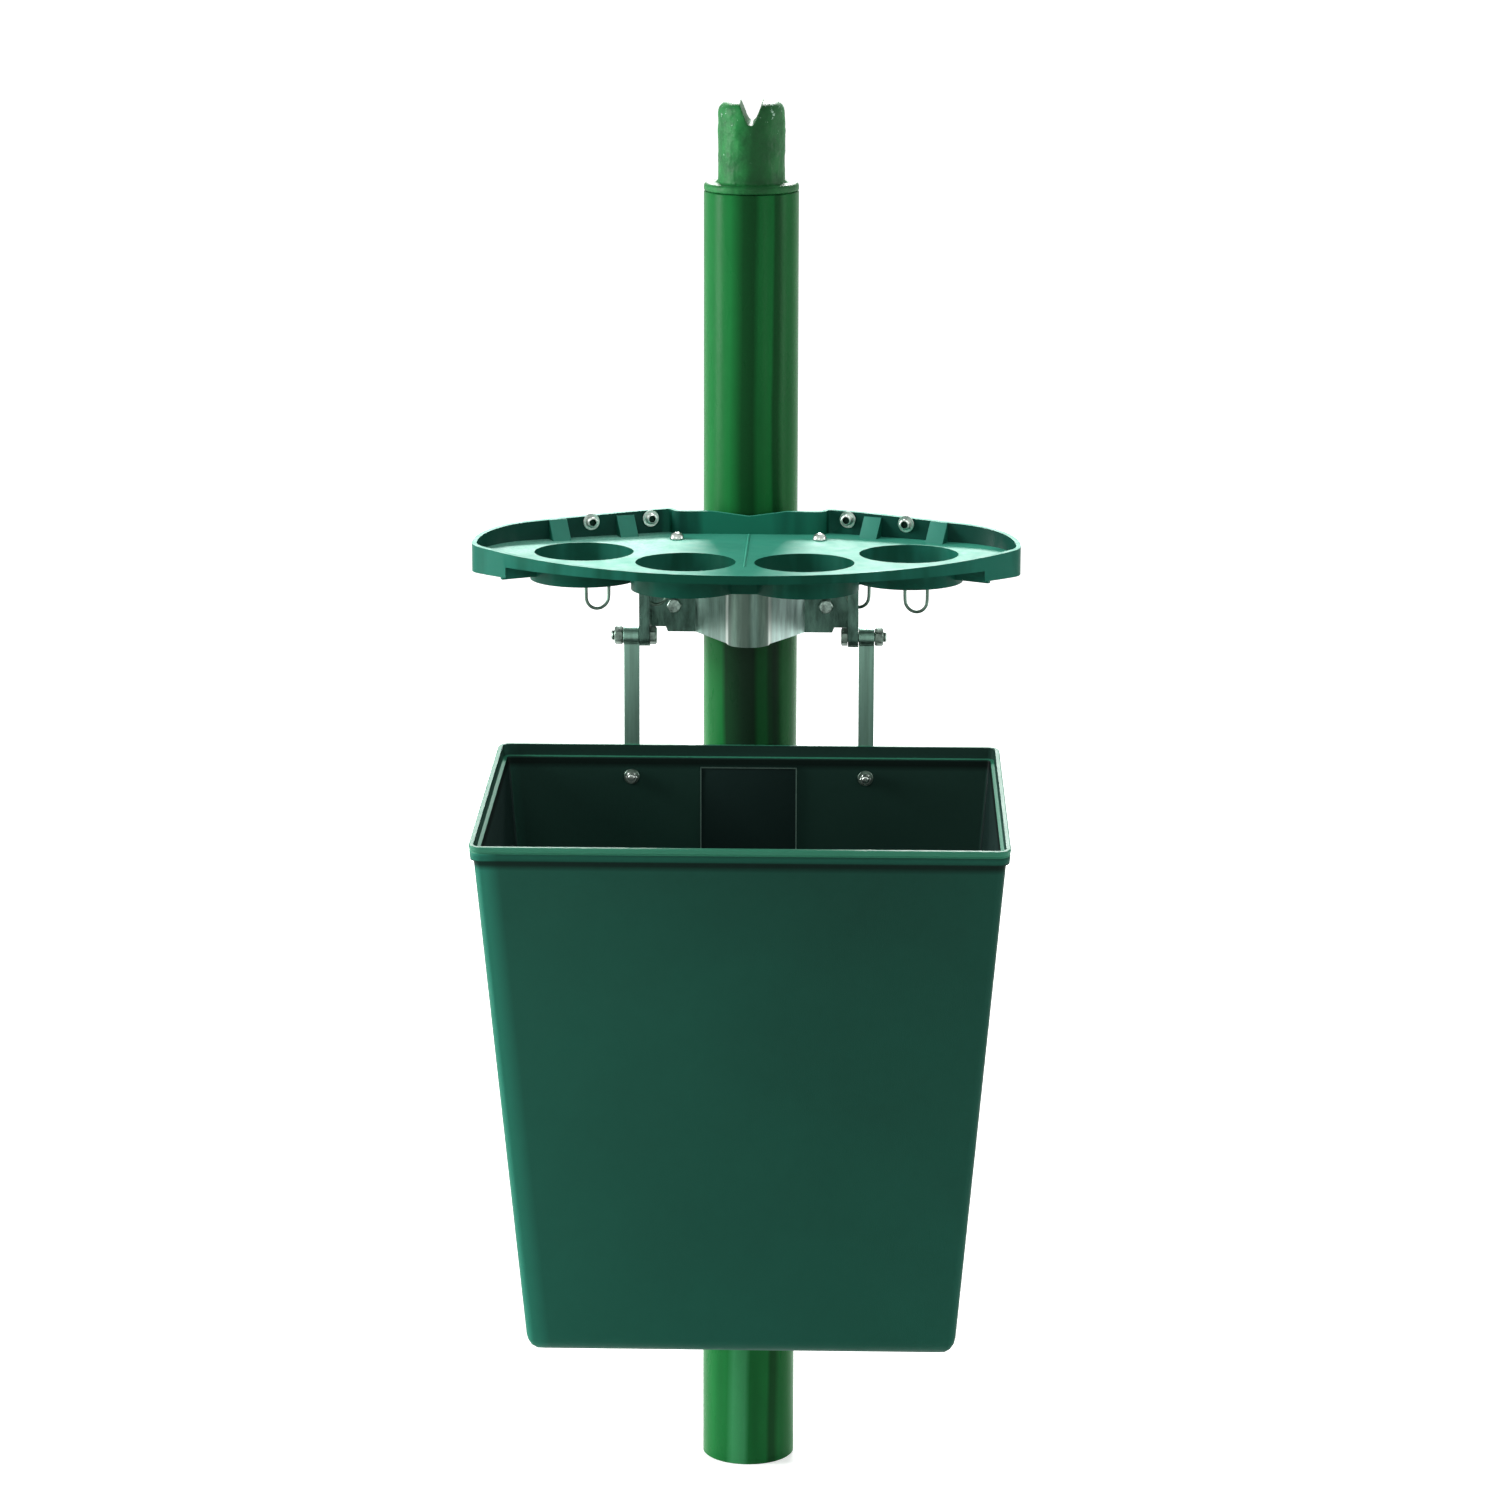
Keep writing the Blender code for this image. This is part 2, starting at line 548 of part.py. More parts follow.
def web_mesh(start, end, start_gap, end_gap, low, high):
    """An upright web between two (x, forward) points, held back from each by a gap."""
    first, last = Vector(start), Vector(end)
    along = (last - first).normalized()
    across = Vector((-along.y, along.x)) * 0.5 * TRAY_WALL
    near, far = first + along * start_gap, last - along * end_gap
    return prism([tuple(p) for p in (near - across, far - across, far + across, near + across)], low, high)


def make_tray():
    """The moulded tray: pan, sloping rim, tip skirts, cup wells, gussets and holes."""
    edge = tray_outline()
    inner = inset(edge, TRAY_WALL)
    top = DECK_Z + 1.4 * RIM_REAR_HEIGHT
    low = TRAY_BOTTOM_Z - SKIRT_DEPTH
    tray = finish("cup_tray", prism(edge, low, top), TRAY_GREEN)

    span = [(1.0 + SPARE) * TRAY_FRONT * i / 16 for i in range(17)]
    slope = [(f, DECK_Z + rim_height(f)) for f in span]
    over = [(span[-1], 2 * top - DECK_Z), (span[0], 2 * top - DECK_Z)]
    cut(tray, slab(slope + over, -2 * TRAY_HALF_WIDTH, 2 * TRAY_HALF_WIDTH))
    cut(tray, prism(inner, DECK_Z, top + DECK_THICKNESS))
    below = low - DECK_THICKNESS
    cut(tray, prism(inner, below, TRAY_BOTTOM_Z))
    cut(tray, box((-SKIRT_REAR_X, SKIRT_REAR_X), (0.0, TRAY_WING_FORWARD), (below, TRAY_BOTTOM_Z)))
    front = (TRAY_WING_FORWARD, 2 * TRAY_FRONT)
    cut(tray, box((-SKIRT_FRONT_X, SKIRT_FRONT_X), front, (below, TRAY_BOTTOM_Z)))

    rim_top = DECK_Z + RIM_REAR_HEIGHT
    nick = [(0.0, rim_top - RIM_NICK_DEPTH), (2 * RIM_NICK_HALF_WIDTH, rim_top + RIM_NICK_DEPTH),
            (-2 * RIM_NICK_HALF_WIDTH, rim_top + RIM_NICK_DEPTH)]
    ends = (0.5 * TRAY_MIDDLE_REAR, TRAY_MIDDLE_REAR + 2 * TRAY_WALL)
    cut(tray, loft([[Vector((x, -f, z)) for x, z in nick] for f in ends]))

    well_low = DECK_Z - CUP_WELL_DEPTH
    well_top = TRAY_BOTTOM_Z + 0.5 * DECK_THICKNESS
    well_radius = CUP_RADIUS + CUP_WELL_WALL
    cups = [(side * x, f) for x, f in (INNER_CUP, OUTER_CUP) for _, side in SIDES]
    for x, forward in cups:
        well = turned([(well_radius, well_low), (well_radius, well_top)], 48)
        well.transform(Matrix.Translation((x, -forward, 0)))
        join(tray, well)
    sunk = CUP_RADIUS + 0.5 * CUP_WELL_WALL
    middle_gap = math.sqrt(sunk ** 2 - MIDDLE_WEB_FORWARD ** 2)
    middle_ends = [(side * INNER_CUP[0], INNER_CUP[1] + MIDDLE_WEB_FORWARD) for _, side in SIDES]
    join(tray, web_mesh(*middle_ends, middle_gap, middle_gap, well_low, well_top))
    for _, side in SIDES:
        near = (side * INNER_CUP[0], INNER_CUP[1])
        far = (side * OUTER_CUP[0], OUTER_CUP[1])
        join(tray, web_mesh(near, far, sunk, sunk, well_low, well_top))
        tip_x = SKIRT_FRONT_X + TRAY_WALL
        tip = (side * tip_x, front_edge_at(tip_x) - 1.4 * TRAY_WALL)
        join(tray, web_mesh(tip, far, 0.0, sunk, TRAY_BOTTOM_Z - TIP_WEB_DEPTH, well_top))
    for x, forward in cups:
        drill(tray, CUP_RADIUS, (x, -forward, well_low - CUP_WELL_DEPTH), (0, 0, 1), 4 * CUP_WELL_DEPTH, 48)

    depth_in = 0.5 * DECK_THICKNESS
    for _, side in SIDES:
        for x in GUSSET_XS:
            point, normal = wall_frame(x, side)
            foot = TRAY_WALL + GUSSET_REACH
            wedge = [(0.5 * TRAY_WALL, -depth_in), (0.5 * TRAY_WALL, GUSSET_HEIGHT),
                     (TRAY_WALL + GUSSET_LEDGE, GUSSET_HEIGHT), (foot, 0.0), (foot, -depth_in)]
            across = Vector((normal.y, -normal.x, 0.0))
            rings = []
            for half in (-0.5 * GUSSET_WIDTH, 0.5 * GUSSET_WIDTH):
                base = Vector((point.x, point.y, DECK_Z)) + across * half
                rings.append([base - normal * depth + Vector((0, 0, z)) for depth, z in wedge])
            join(tray, loft(rings))
        for x in HOOK_SCREW_XS:
            point, normal = wall_frame(x, side)
            drill(tray, HOOK_SCREW_RADIUS + SEAT, point - normal * 3 * TRAY_WALL, normal, 5 * TRAY_WALL, 12)
        start = (side * TRAY_BOLT_X, -TRAY_BOLT_FORWARD, SADDLE_TOP_Z)
        drill(tray, TRAY_BOLT_RADIUS + SEAT, start, (0, 0, 1), 2 * DECK_THICKNESS)


def make_tray_bolts():
    """Domed bolts through the deck and the saddle's flange, with their nuts below."""
    length = DECK_THICKNESS + FLANGE_THICKNESS + 3 * SEAT + TRAY_NUT_HEIGHT + THREAD_END
    bolt = screw_mesh(TRAY_BOLT_RADIUS, length, TRAY_DOME_RADIUS, TRAY_DOME_HEIGHT, dome=True, count=14)
    nut = nut_mesh(TRAY_BOLT_RADIUS + SEAT, TRAY_NUT_FLAT_RADIUS, TRAY_NUT_HEIGHT)
    for side_name, side in SIDES:
        x = side * TRAY_BOLT_X
        finish(f"tray_bolt_{side_name}", bolt.copy(), STEEL,
               placed((x, -TRAY_BOLT_FORWARD, DECK_Z + SEAT), (0, 0, -1)))
        under = SADDLE_TOP_Z - FLANGE_THICKNESS - SEAT
        finish(f"tray_nut_{side_name}", nut.copy(), STEEL, placed((x, -TRAY_BOLT_FORWARD, under), (0, 0, -1)))


def hook_path():
    """The centre line of a hook in its own plane: eye round the screw, stem, bend and tip."""
    eye = HOOK_SCREW_RADIUS + SEAT + HOOK_WIRE
    path = arc((0.0, 0.0), eye, math.radians(-35), math.radians(235), 10)
    stem_x = path[-1][0]
    bend_z = -(HOOK_DROP - HOOK_BEND)
    path += [(stem_x - 0.4 * HOOK_WIRE, -2.4 * eye), (stem_x - 0.4 * HOOK_WIRE, 0.5 * bend_z)]
    path += arc((stem_x - 0.4 * HOOK_WIRE + HOOK_BEND, bend_z), HOOK_BEND, math.pi, math.tau, 8)
    path.append((path[-1][0], bend_z + HOOK_TIP_RISE))
    return path


def wire_mesh(path, radius, count=8):
    """A round wire along a path that lies in the XZ plane."""
    points = [Vector((x, 0.0, z)) for x, z in path]
    rings = []
    for i, point in enumerate(points):
        before = point - points[max(i - 1, 0)]
        after = points[min(i + 1, len(points) - 1)] - point
        along = (before.normalized() + after.normalized()).normalized()
        across = Vector((-along.z, 0.0, along.x))
        ring = []
        for k in range(count):
            angle = math.tau * k / count
            ring.append(point + across * radius * math.cos(angle) + Vector((0, radius * math.sin(angle), 0)))
        rings.append(ring)
    return loft(rings)


def make_hooks():
    """Four alike wire hooks on the tray's rear wall, each with its screw, washer and nut."""
    wire = wire_mesh(hook_path(), HOOK_WIRE)
    washer = washer_mesh(HOOK_SCREW_RADIUS + SEAT, HOOK_WASHER_RADIUS, HOOK_WASHER_THICKNESS)
    head_seat = TRAY_WALL + 2 * SEAT + HOOK_WASHER_THICKNESS
    eye_depth = 2 * HOOK_WIRE + 2 * SEAT
    length = head_seat + eye_depth + SEAT + HOOK_NUT_HEIGHT + THREAD_END
    head = (HOOK_HEAD_RADIUS, HOOK_HEAD_HEIGHT)
    screw = screw_mesh(HOOK_SCREW_RADIUS, length, *head, socket=HOOK_SOCKET_RADIUS)
    nut = nut_mesh(HOOK_SCREW_RADIUS + SEAT, HOOK_NUT_FLAT_RADIUS, HOOK_NUT_HEIGHT)
    for side_name, side in SIDES:
        for label, x in zip(("inner", "outer"), HOOK_SCREW_XS):
            point, normal = wall_frame(x, side)
            end = f"{label}_{side_name}"
            turn = Matrix.Rotation(-side * TRAY_REAR_SLOPE, 4, "Z")
            centre = point + normal * (SEAT + HOOK_WIRE)
            finish(f"hook_{end}", wire.copy(), STEEL, Matrix.Translation(centre) @ turn)
            finish(f"hook_screw_{end}", screw.copy(), STEEL, placed(point - normal * head_seat, normal))
            washer_at = point - normal * (TRAY_WALL + SEAT + HOOK_WASHER_THICKNESS)
            finish(f"hook_washer_{end}", washer.copy(), STEEL, placed(washer_at, normal))
            finish(f"hook_nut_{end}", nut.copy(), STEEL, placed(point + normal * eye_depth, normal))


def strap_outline():
    """A strap from the side, as (forward, z) points from the pivot: flat bar and rolled eye."""
    outer = STRAP_EYE_BORE + STRAP_THICKNESS
    start, end = math.pi, math.radians(-110)
    rolled = arc((0.0, 0.0), outer, start, end, 24)
    back = arc((0.0, 0.0), STRAP_EYE_BORE, end, start, 24)
    bottom = -STRAP_LENGTH
    return [(-outer, bottom)] + rolled + back + [(-STRAP_EYE_BORE, bottom)]


def make_straps():
    """Two hanger straps with rolled eyes, and the pivot bolts and nuts through the lugs."""
    outline = strap_outline()
    grip = SEAT + LUG_THICKNESS + STRAP_WIDTH + 2 * STRAP_SIDE_PLAY
    shank = grip + PIVOT_NUT_HEIGHT + PIVOT_THREAD_END
    bolt = screw_mesh(PIVOT_RADIUS, shank, PIVOT_FLAT_RADIUS, PIVOT_HEAD_HEIGHT, flats=6, count=18)
    nut = nut_mesh(PIVOT_RADIUS + SEAT, PIVOT_FLAT_RADIUS, PIVOT_NUT_HEIGHT, 18)
    for side_name, side in SIDES:
        ends = sorted((-side * 0.5 * STRAP_WIDTH, side * 0.5 * STRAP_WIDTH))
        pivot = Vector((side * STRAP_X, -PIVOT_FORWARD, PIVOT_Z))
        bar = slab(outline, *ends)
        strap = finish(f"hanger_strap_{side_name}", bar, ALUMINIUM, Matrix.Translation(pivot))
        screw_at = (side * STRAP_X, -(STRAP_FRONT + STRAP_THICKNESS), BASKET_SCREW_Z)
        drill(strap, BASKET_SCREW_RADIUS + SEAT, screw_at, (0, 1, 0), 3 * STRAP_THICKNESS, 12)
        head_at = (side * (LUG_INNER_X - SEAT), -PIVOT_FORWARD, PIVOT_Z)
        finish(f"pivot_bolt_{side_name}", bolt.copy(), STEEL, placed(head_at, (side, 0, 0)))
        nut_at = (side * (STRAP_INNER_X + STRAP_WIDTH + STRAP_SIDE_PLAY), -PIVOT_FORWARD, PIVOT_Z)
        finish(f"pivot_nut_{side_name}", nut.copy(), STEEL, placed(nut_at, (side, 0, 0)))


def basket_ring(back_z, inward, lip=0.0, wall=0.0):
    """One level of the basket: a rounded trapezoid on a plane that tips down to the front."""
    share = (BASKET_RIM_Z - back_z) / (BASKET_RIM_Z - BASKET_FLOOR_Z)
    front = BASKET_FRONT_TOP + share * (BASKET_FRONT_FLOOR - BASKET_FRONT_TOP) + lip - inward - wall
    back = BASKET_BACK + inward + max(wall - 0.5 * lip, 0.0)
    back_half = BASKET_BACK_TOP_HALF + share * (BASKET_BACK_FLOOR_HALF - BASKET_BACK_TOP_HALF)
    front_half = BASKET_FRONT_TOP_HALF + share * (BASKET_FRONT_FLOOR_HALF - BASKET_FRONT_TOP_HALF)
    back_half += lip - inward - wall
    front_half += lip - inward - wall
    radius = max(BASKET_CORNER + lip - inward - wall, 0.25 * BASKET_CORNER)
    corners = [(back_half, back, radius), (front_half, front, radius),
               (-front_half, front, radius), (-back_half, back, radius)]
    ring = []
    for x, forward in filleted(corners, 6):
        ring.append(Vector((x, -forward, back_z - (forward - BASKET_BACK) * math.tan(BASKET_TILT))))
    return ring


def make_basket():
    """The litter basket: a moulded shell with a lip, a bearing pad inside and two screw holes."""
    angles = [math.radians(90) * i / 5 for i in range(6)]
    bend = BASKET_BEND
    edge = 0.3 * LIP_REACH
    rings = [basket_ring(BASKET_FLOOR_Z + bend * (1 - math.cos(a)), bend * (1 - math.sin(a))) for a in angles]
    lip_low = BASKET_RIM_Z - LIP_HEIGHT
    rings += [basket_ring(lip_low, 0.0), basket_ring(lip_low + edge, 0.0, LIP_REACH)]
    rings.append(basket_ring(BASKET_RIM_Z - edge, 0.0, LIP_REACH))
    rings.append(basket_ring(BASKET_RIM_Z, 0.0, LIP_REACH - edge))
    ledge = lip_low + LEDGE_THICKNESS
    rings.append(basket_ring(BASKET_RIM_Z, 0.0, LIP_REACH, BASKET_WALL))
    rings.append(basket_ring(ledge + edge, 0.0, LIP_REACH, BASKET_WALL))
    rings.append(basket_ring(ledge, 0.0, 0.0, BASKET_WALL))
    small = BASKET_BEND - BASKET_WALL
    floor = BASKET_FLOOR_Z + BASKET_WALL
    for a in reversed(angles):
        level = floor + small * (1 - math.cos(a))
        rings.append(basket_ring(level, small * (1 - math.sin(a)), 0.0, BASKET_WALL))
    basket = finish("litter_basket", loft(rings), BASKET_GREEN)

    pad_top = BASKET_RIM_Z - PAD_DROP
    inner_face = BASKET_BACK + BASKET_WALL
    pad_range = (inner_face - 0.5 * BASKET_WALL, inner_face + PAD_THICKNESS)
    join(basket, box((-PAD_HALF_WIDTH, PAD_HALF_WIDTH), pad_range, (pad_top - PAD_HEIGHT, pad_top)))
    for _, side in SIDES:
        start = (side * STRAP_X, -(inner_face + BASKET_WALL), BASKET_SCREW_Z)
        drill(basket, BASKET_SCREW_RADIUS + SEAT, start, (0, 1, 0), 3 * BASKET_WALL, 12)


def make_basket_screws():
    """Screws from behind each strap through the basket's back wall, with washers and nuts inside."""
    grip = STRAP_THICKNESS + BASKET_WALL + BASKET_WASHER_THICKNESS + 4 * SEAT
    length = grip + BASKET_NUT_HEIGHT + THREAD_END
    screw = screw_mesh(BASKET_SCREW_RADIUS, length, BASKET_HEAD_RADIUS, BASKET_HEAD_HEIGHT, dome=True)
    washer = washer_mesh(BASKET_SCREW_RADIUS + SEAT, BASKET_WASHER_RADIUS, BASKET_WASHER_THICKNESS)
    nut = nut_mesh(BASKET_SCREW_RADIUS + SEAT, BASKET_NUT_FLAT_RADIUS, BASKET_NUT_HEIGHT)
    inner_face = BASKET_BACK + BASKET_WALL
    for side_name, side in SIDES:
        x = side * STRAP_X
        finish(f"basket_screw_{side_name}", screw.copy(), STEEL,
               placed((x, -(STRAP_REAR - SEAT), BASKET_SCREW_Z), (0, -1, 0)))
        finish(f"basket_washer_{side_name}", washer.copy(), STEEL,
               placed((x, -(inner_face + SEAT), BASKET_SCREW_Z), (0, -1, 0)))
        finish(f"basket_nut_{side_name}", nut.copy(), STEEL,
               placed((x, -(inner_face + 2 * SEAT + BASKET_WASHER_THICKNESS), BASKET_SCREW_Z), (0, -1, 0)))


def main():
    for item in list(bpy.data.objects):
        bpy.data.objects.remove(item)
    make_post()
    make_saddle()
    make_rear_clamp()
    make_tray()
    make_tray_bolts()
    make_hooks()
    make_straps()
    make_basket()
    make_basket_screws()


main()
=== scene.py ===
"""Looks of a net post with a court caddy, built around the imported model.

Everything is in metres in the model's own frame: Z is up along the post and the front faces -Y.
"""

import json
import math

import bmesh
import bpy
from mathutils import Matrix, Vector, noise

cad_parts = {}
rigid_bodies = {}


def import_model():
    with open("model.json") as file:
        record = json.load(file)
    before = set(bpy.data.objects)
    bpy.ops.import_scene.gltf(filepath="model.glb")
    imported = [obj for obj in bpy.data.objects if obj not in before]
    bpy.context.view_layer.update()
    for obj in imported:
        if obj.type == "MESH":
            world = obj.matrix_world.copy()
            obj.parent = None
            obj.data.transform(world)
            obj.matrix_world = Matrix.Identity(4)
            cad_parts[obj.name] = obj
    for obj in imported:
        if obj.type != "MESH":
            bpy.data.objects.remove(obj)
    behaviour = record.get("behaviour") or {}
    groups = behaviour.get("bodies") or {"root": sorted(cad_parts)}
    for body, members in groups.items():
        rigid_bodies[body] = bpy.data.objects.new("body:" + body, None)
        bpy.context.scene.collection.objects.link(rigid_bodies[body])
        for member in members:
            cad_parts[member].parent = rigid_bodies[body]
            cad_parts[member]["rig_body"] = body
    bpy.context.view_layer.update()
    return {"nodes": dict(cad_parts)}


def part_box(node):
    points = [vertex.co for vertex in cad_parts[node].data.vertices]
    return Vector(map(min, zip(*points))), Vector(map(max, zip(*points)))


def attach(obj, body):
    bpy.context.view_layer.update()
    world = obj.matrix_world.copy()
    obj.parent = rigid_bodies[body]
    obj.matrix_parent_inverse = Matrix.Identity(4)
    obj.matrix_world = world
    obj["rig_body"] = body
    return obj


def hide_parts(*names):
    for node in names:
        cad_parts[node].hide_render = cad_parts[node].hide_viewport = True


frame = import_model()

# Camera, as worked out from the photograph
CAMERA_LENS = 121.7
CAMERA_SENSOR = 36.0
CAMERA_DISTANCE = 3.882
CAMERA_HEIGHT = 1.4625
CAMERA_AZIMUTH = math.radians(1.5)
CAMERA_TARGET = Vector((0.0, 0.0, 0.5805))
CAMERA_ROLL = math.radians(0.15)
CAMERA_FAR = 60

# Places and sizes of the model that the finer shapes rest on
POST_WALL = 0.0035
STUB_FOOT_Z = 1.0263
DECK_Z = 0.7603
TRAY_MIDDLE_Y = -0.1300
REAR_SLOPE = math.radians(20.8)
ARM_START_X = 0.0500
PAD_FACE_Y = -0.0415
PAD_HALF_WIDTH = 0.0375
PAD_LOW_Z = 0.4960
PAD_TOP_Z = 0.5760
RIM_TILT = math.radians(4.5)
BASKET_TAPER = 0.0811
BASKET_HALF_AT_GROUND = 0.1479
LIP_LEVEL = 0.5839

# Fine shapes that only this script has
POST_EDGE = 0.0006
GROOVE_LEVEL = 0.5916
GROOVE_HALF_WIDTH = 0.0008
GROOVE_DEPTH = 0.0008
BEAD_WIDTH = 0.0008
BEAD_HEIGHT = 0.0005
CREASE_HALF_WIDTH = 0.0008
CREASE_HEIGHT = 0.0005
CREASE_ENDS_Y = (-0.0430, -0.1780)
CAP_VOXEL = 0.0012
CAP_LUMP_SCALE = 140
CAP_LUMP_HEIGHT = 0.0005
CAP_BLEND = 0.006
CAP_SINK = 0.0003
CAP_WEAR_DEPTH = 0.016
CAP_WEAR_SINK = 0.0004
CAP_WEAR_SMOOTHING = 0.6
WIRE_SMOOTHING = 2
SAME_POINT = 1e-6
ON_PLANE = 1e-5

# Limits that pick out the faces with another look, by their place, size and normal
BELOW_DECK = 0.002
ABOVE_DECK = 0.001
GUSSET_SLOPE = (0.2, 0.95)
GUSSET_LEAST_AREA = 0.00003
PAD_MARGIN = 0.001
UPRIGHT = 0.5
TOP_FACING = 0.6
INWARD_FACING = 0.3
SIDE_FACING = 0.5
FRONT_FACING = 0.9

# Rounded edges of the dressed nodes
TRAY_ROUNDING = 0.0007
CASTING_ROUNDING = 0.0008
BASKET_ROUNDING = 0.0012
STRAP_ROUNDING = 0.0005
FLAT_ANGLE = math.radians(1)
BEVEL_ANGLE = math.radians(28)
SHARP_ANGLE = math.radians(38)

# Steps round a turned piece, and how far a hexagon's corners reach
TURNED_STEPS = 36
POST_STEPS = 144
BLUNT_CORNER = 1.12

# Heads, as radius or half the width across the flats, height, and half the width of a socket
HOOK_HEAD = (0.0042, 0.0030, 0.0025)
CLAMP_HEAD = (0.0051, 0.0039)
TRAY_HEAD = (0.0055, 0.0050)
PIVOT_HEAD = (0.0064, 0.0050)
BASKET_HEAD = (0.0047, 0.0028)

# Shafts, as radius, plain length, whole length and pitch
HOOK_SHAFT = (0.0020, 0.0060, 0.0137, 0.0007)
CLAMP_SHAFT = (0.0030, 0.0120, 0.0248, 0.0010)
TRAY_SHAFT = (0.0030, 0.0060, 0.0169, 0.0010)
PIVOT_SHAFT = (0.0040, 0.0205, 0.0301, 0.00125)
BASKET_SHAFT = (0.0025, 0.0070, 0.0144, 0.0008)
THREAD_ROOT = 0.88
SHAFT_TIP = 0.78

# Nuts, as bore, half the width across the flats and height
HOOK_NUT = (0.0023, 0.0037, 0.0032)
CLAMP_NUT = (0.0033, 0.0051, 0.0045)
TRAY_NUT = (0.0033, 0.0050, 0.0045)
PIVOT_NUT = (0.0043, 0.0064, 0.0065)
BASKET_NUT = (0.0028, 0.0040, 0.0040)

# Washers, as bore, radius and thickness
HOOK_WASHER = (0.0023, 0.0065, 0.0012)
BASKET_WASHER = (0.0028, 0.0060, 0.0012)

# Where heads and nuts sit
HOOK_HEAD_AHEAD = 0.0009
HOOK_WASHER_AHEAD = 0.0006
HOOK_NUT_BEHIND = 0.0078
SOCKET_REACH = 0.0027
SOCKET_START = 0.0010
TRAY_HEAD_LIFT = 0.0003
PIVOT_HEAD_X = 0.0762
PIVOT_NUT_X = 0.0973
BASKET_HEAD_Y = -0.0332

# Colours as linear RGB
POST_GREEN = (0.014, 0.200, 0.045)
POST_GREEN_DARK = (0.008, 0.105, 0.026)
# Painted light on the post's front: dark reflections, the shade between basket and tray, and a highlight low
# down
POST_PAINTED_REFLECTION = (0.005, 0.050, 0.013)
POST_GAP_SHADE = (0.012, 0.030, 0.018)
POST_PAINTED_HIGHLIGHT = (0.050, 0.280, 0.110)
CHIP_GREEN = (0.34, 0.56, 0.42)
TRAY_GREEN = (0.062, 0.430, 0.300)
TRAY_GREEN_DARK = (0.046, 0.350, 0.240)
# Painted sheen on the deck's rear left
TRAY_PAINTED_SHEEN = (0.40, 0.76, 0.65)
# Painted shade: the tray's walls, gussets and outside are darker copies of its plastic
TRAY_WALL_DARK = (0.004, 0.054, 0.038)
TRAY_WALL_GREEN = (0.016, 0.200, 0.130)
TRAY_GUSSET = (0.045, 0.250, 0.185)
TRAY_OUTSIDE = (0.014, 0.140, 0.097)
TRAY_OUTSIDE_DARK = (0.004, 0.062, 0.038)
BASKET_GREEN = (0.010, 0.058, 0.040)
BASKET_GREEN_LIGHT = (0.015, 0.112, 0.076)
# Painted highlight: the basket's rim is a paler copy of its plastic
BASKET_RIM_HIGHLIGHT = (0.035, 0.215, 0.130)
# Painted shade inside the basket
BASKET_INSIDE_SHADE = (0.014, 0.056, 0.040)
BASKET_INSIDE_SHADE_DARK = (0.017, 0.048, 0.037)
# The pad's dark face, also painted shade on the basket's inner side walls
PAD_DARK = (0.010, 0.024, 0.021)
PAD_EDGE_GREEN = (0.140, 0.230, 0.195)
CAST_GREY = (0.20, 0.32, 0.27)
CAST_PAINTED_HIGHLIGHT = (0.49, 0.66, 0.61)
CAST_SHADE = (0.092, 0.180, 0.142)
NOSE_PAINTED_SHADE = (0.070, 0.106, 0.086)
STRAP_GREY = (0.19, 0.34, 0.27)
STEEL_GREY = (0.60, 0.67, 0.62)
DULL_ZINC = (0.17, 0.24, 0.20)
BOLT_ZINC = (0.34, 0.46, 0.40)
HOOK_ZINC = (0.11, 0.18, 0.14)
# Painted shade inside the sockets, and the tone of the casting's random lines
SOCKET_DARK = (0.010, 0.030, 0.022)

# Bands of painted light and shade, as the start and end of a rise and the start and end of a fall
WIDE_REFLECTION_X = (-0.0150, -0.0050, 0.0035, 0.0075)
THIN_REFLECTION_X = (0.0165, 0.0190, 0.0225, 0.0260)
LOW_HIGHLIGHT_X = (-0.0160, -0.0110, -0.0010, 0.0030)
GAP_SHADE_X = (-0.0215, -0.0180, 0.0205, 0.0240)
GAP_REFLECTION_X = (0.0030, 0.0060, 0.0130, 0.0155)
GAP_SHADE_Z = (0.50, 0.57, 0.67, 0.70)
CAP_REFLECTION_X = (-0.0120, 0.0020, 0.0100, 0.0200)
NOSE_HIGHLIGHT_X = (0.001, 0.004, 0.006, 0.009)
BEND_HIGHLIGHT_X = (0.0150, 0.0162, 0.0168, 0.0182)
LIP_SHADOW = (LIP_LEVEL - 0.0070, LIP_LEVEL - 0.0025, LIP_LEVEL + 0.0010, LIP_LEVEL + 0.0020)
LIP_HIGHLIGHT = (LIP_LEVEL + 0.0015, LIP_LEVEL + 0.0035, GROOVE_LEVEL - 0.0030, GROOVE_LEVEL - 0.0015)

# Ramps of painted light and shade, and of the cap's chipped wear, from where a tone starts to where it is
# full
POST_FRONT_Y = (-0.010, -0.018)
WIDE_REFLECTION_Z = (0.12, 0.30)
LOW_HIGHLIGHT_Z = (0.24, 0.16)
CAP_FRONT_Y = (-0.006, -0.014)
CAP_CHIPPED_Z = (1.060, 1.0885)
CHIP_LEVELS = (0.69, 0.72)
NOSE_SHADE_X = (0.0175, 0.0145)
RIGHT_WALL_HIGHLIGHT_X = (0.014, 0.020)
# Painted light: the tray's walls lighter near the middle and its outside lighter towards the tips
WALL_LIGHT_SPREAD_X = (0.02, 0.07)
OUTSIDE_LIGHT_SPREAD_X = (0.05, 0.20)
SHEEN_PATCH_X = (-0.050, -0.080)
SHEEN_PATCH_Y = (-0.150, -0.115)
BASKET_LIGHT_LOW_Z = (0.59, 0.14)
BASKET_LIGHT_LEFT_X = (0.05, -0.19)
LEFT_EDGE_HIGHLIGHT = (0.017 - BASKET_HALF_AT_GROUND, 0.006 - BASKET_HALF_AT_GROUND)
EDGE_HIGHLIGHT_FACING_Y = (-0.15, -0.50)

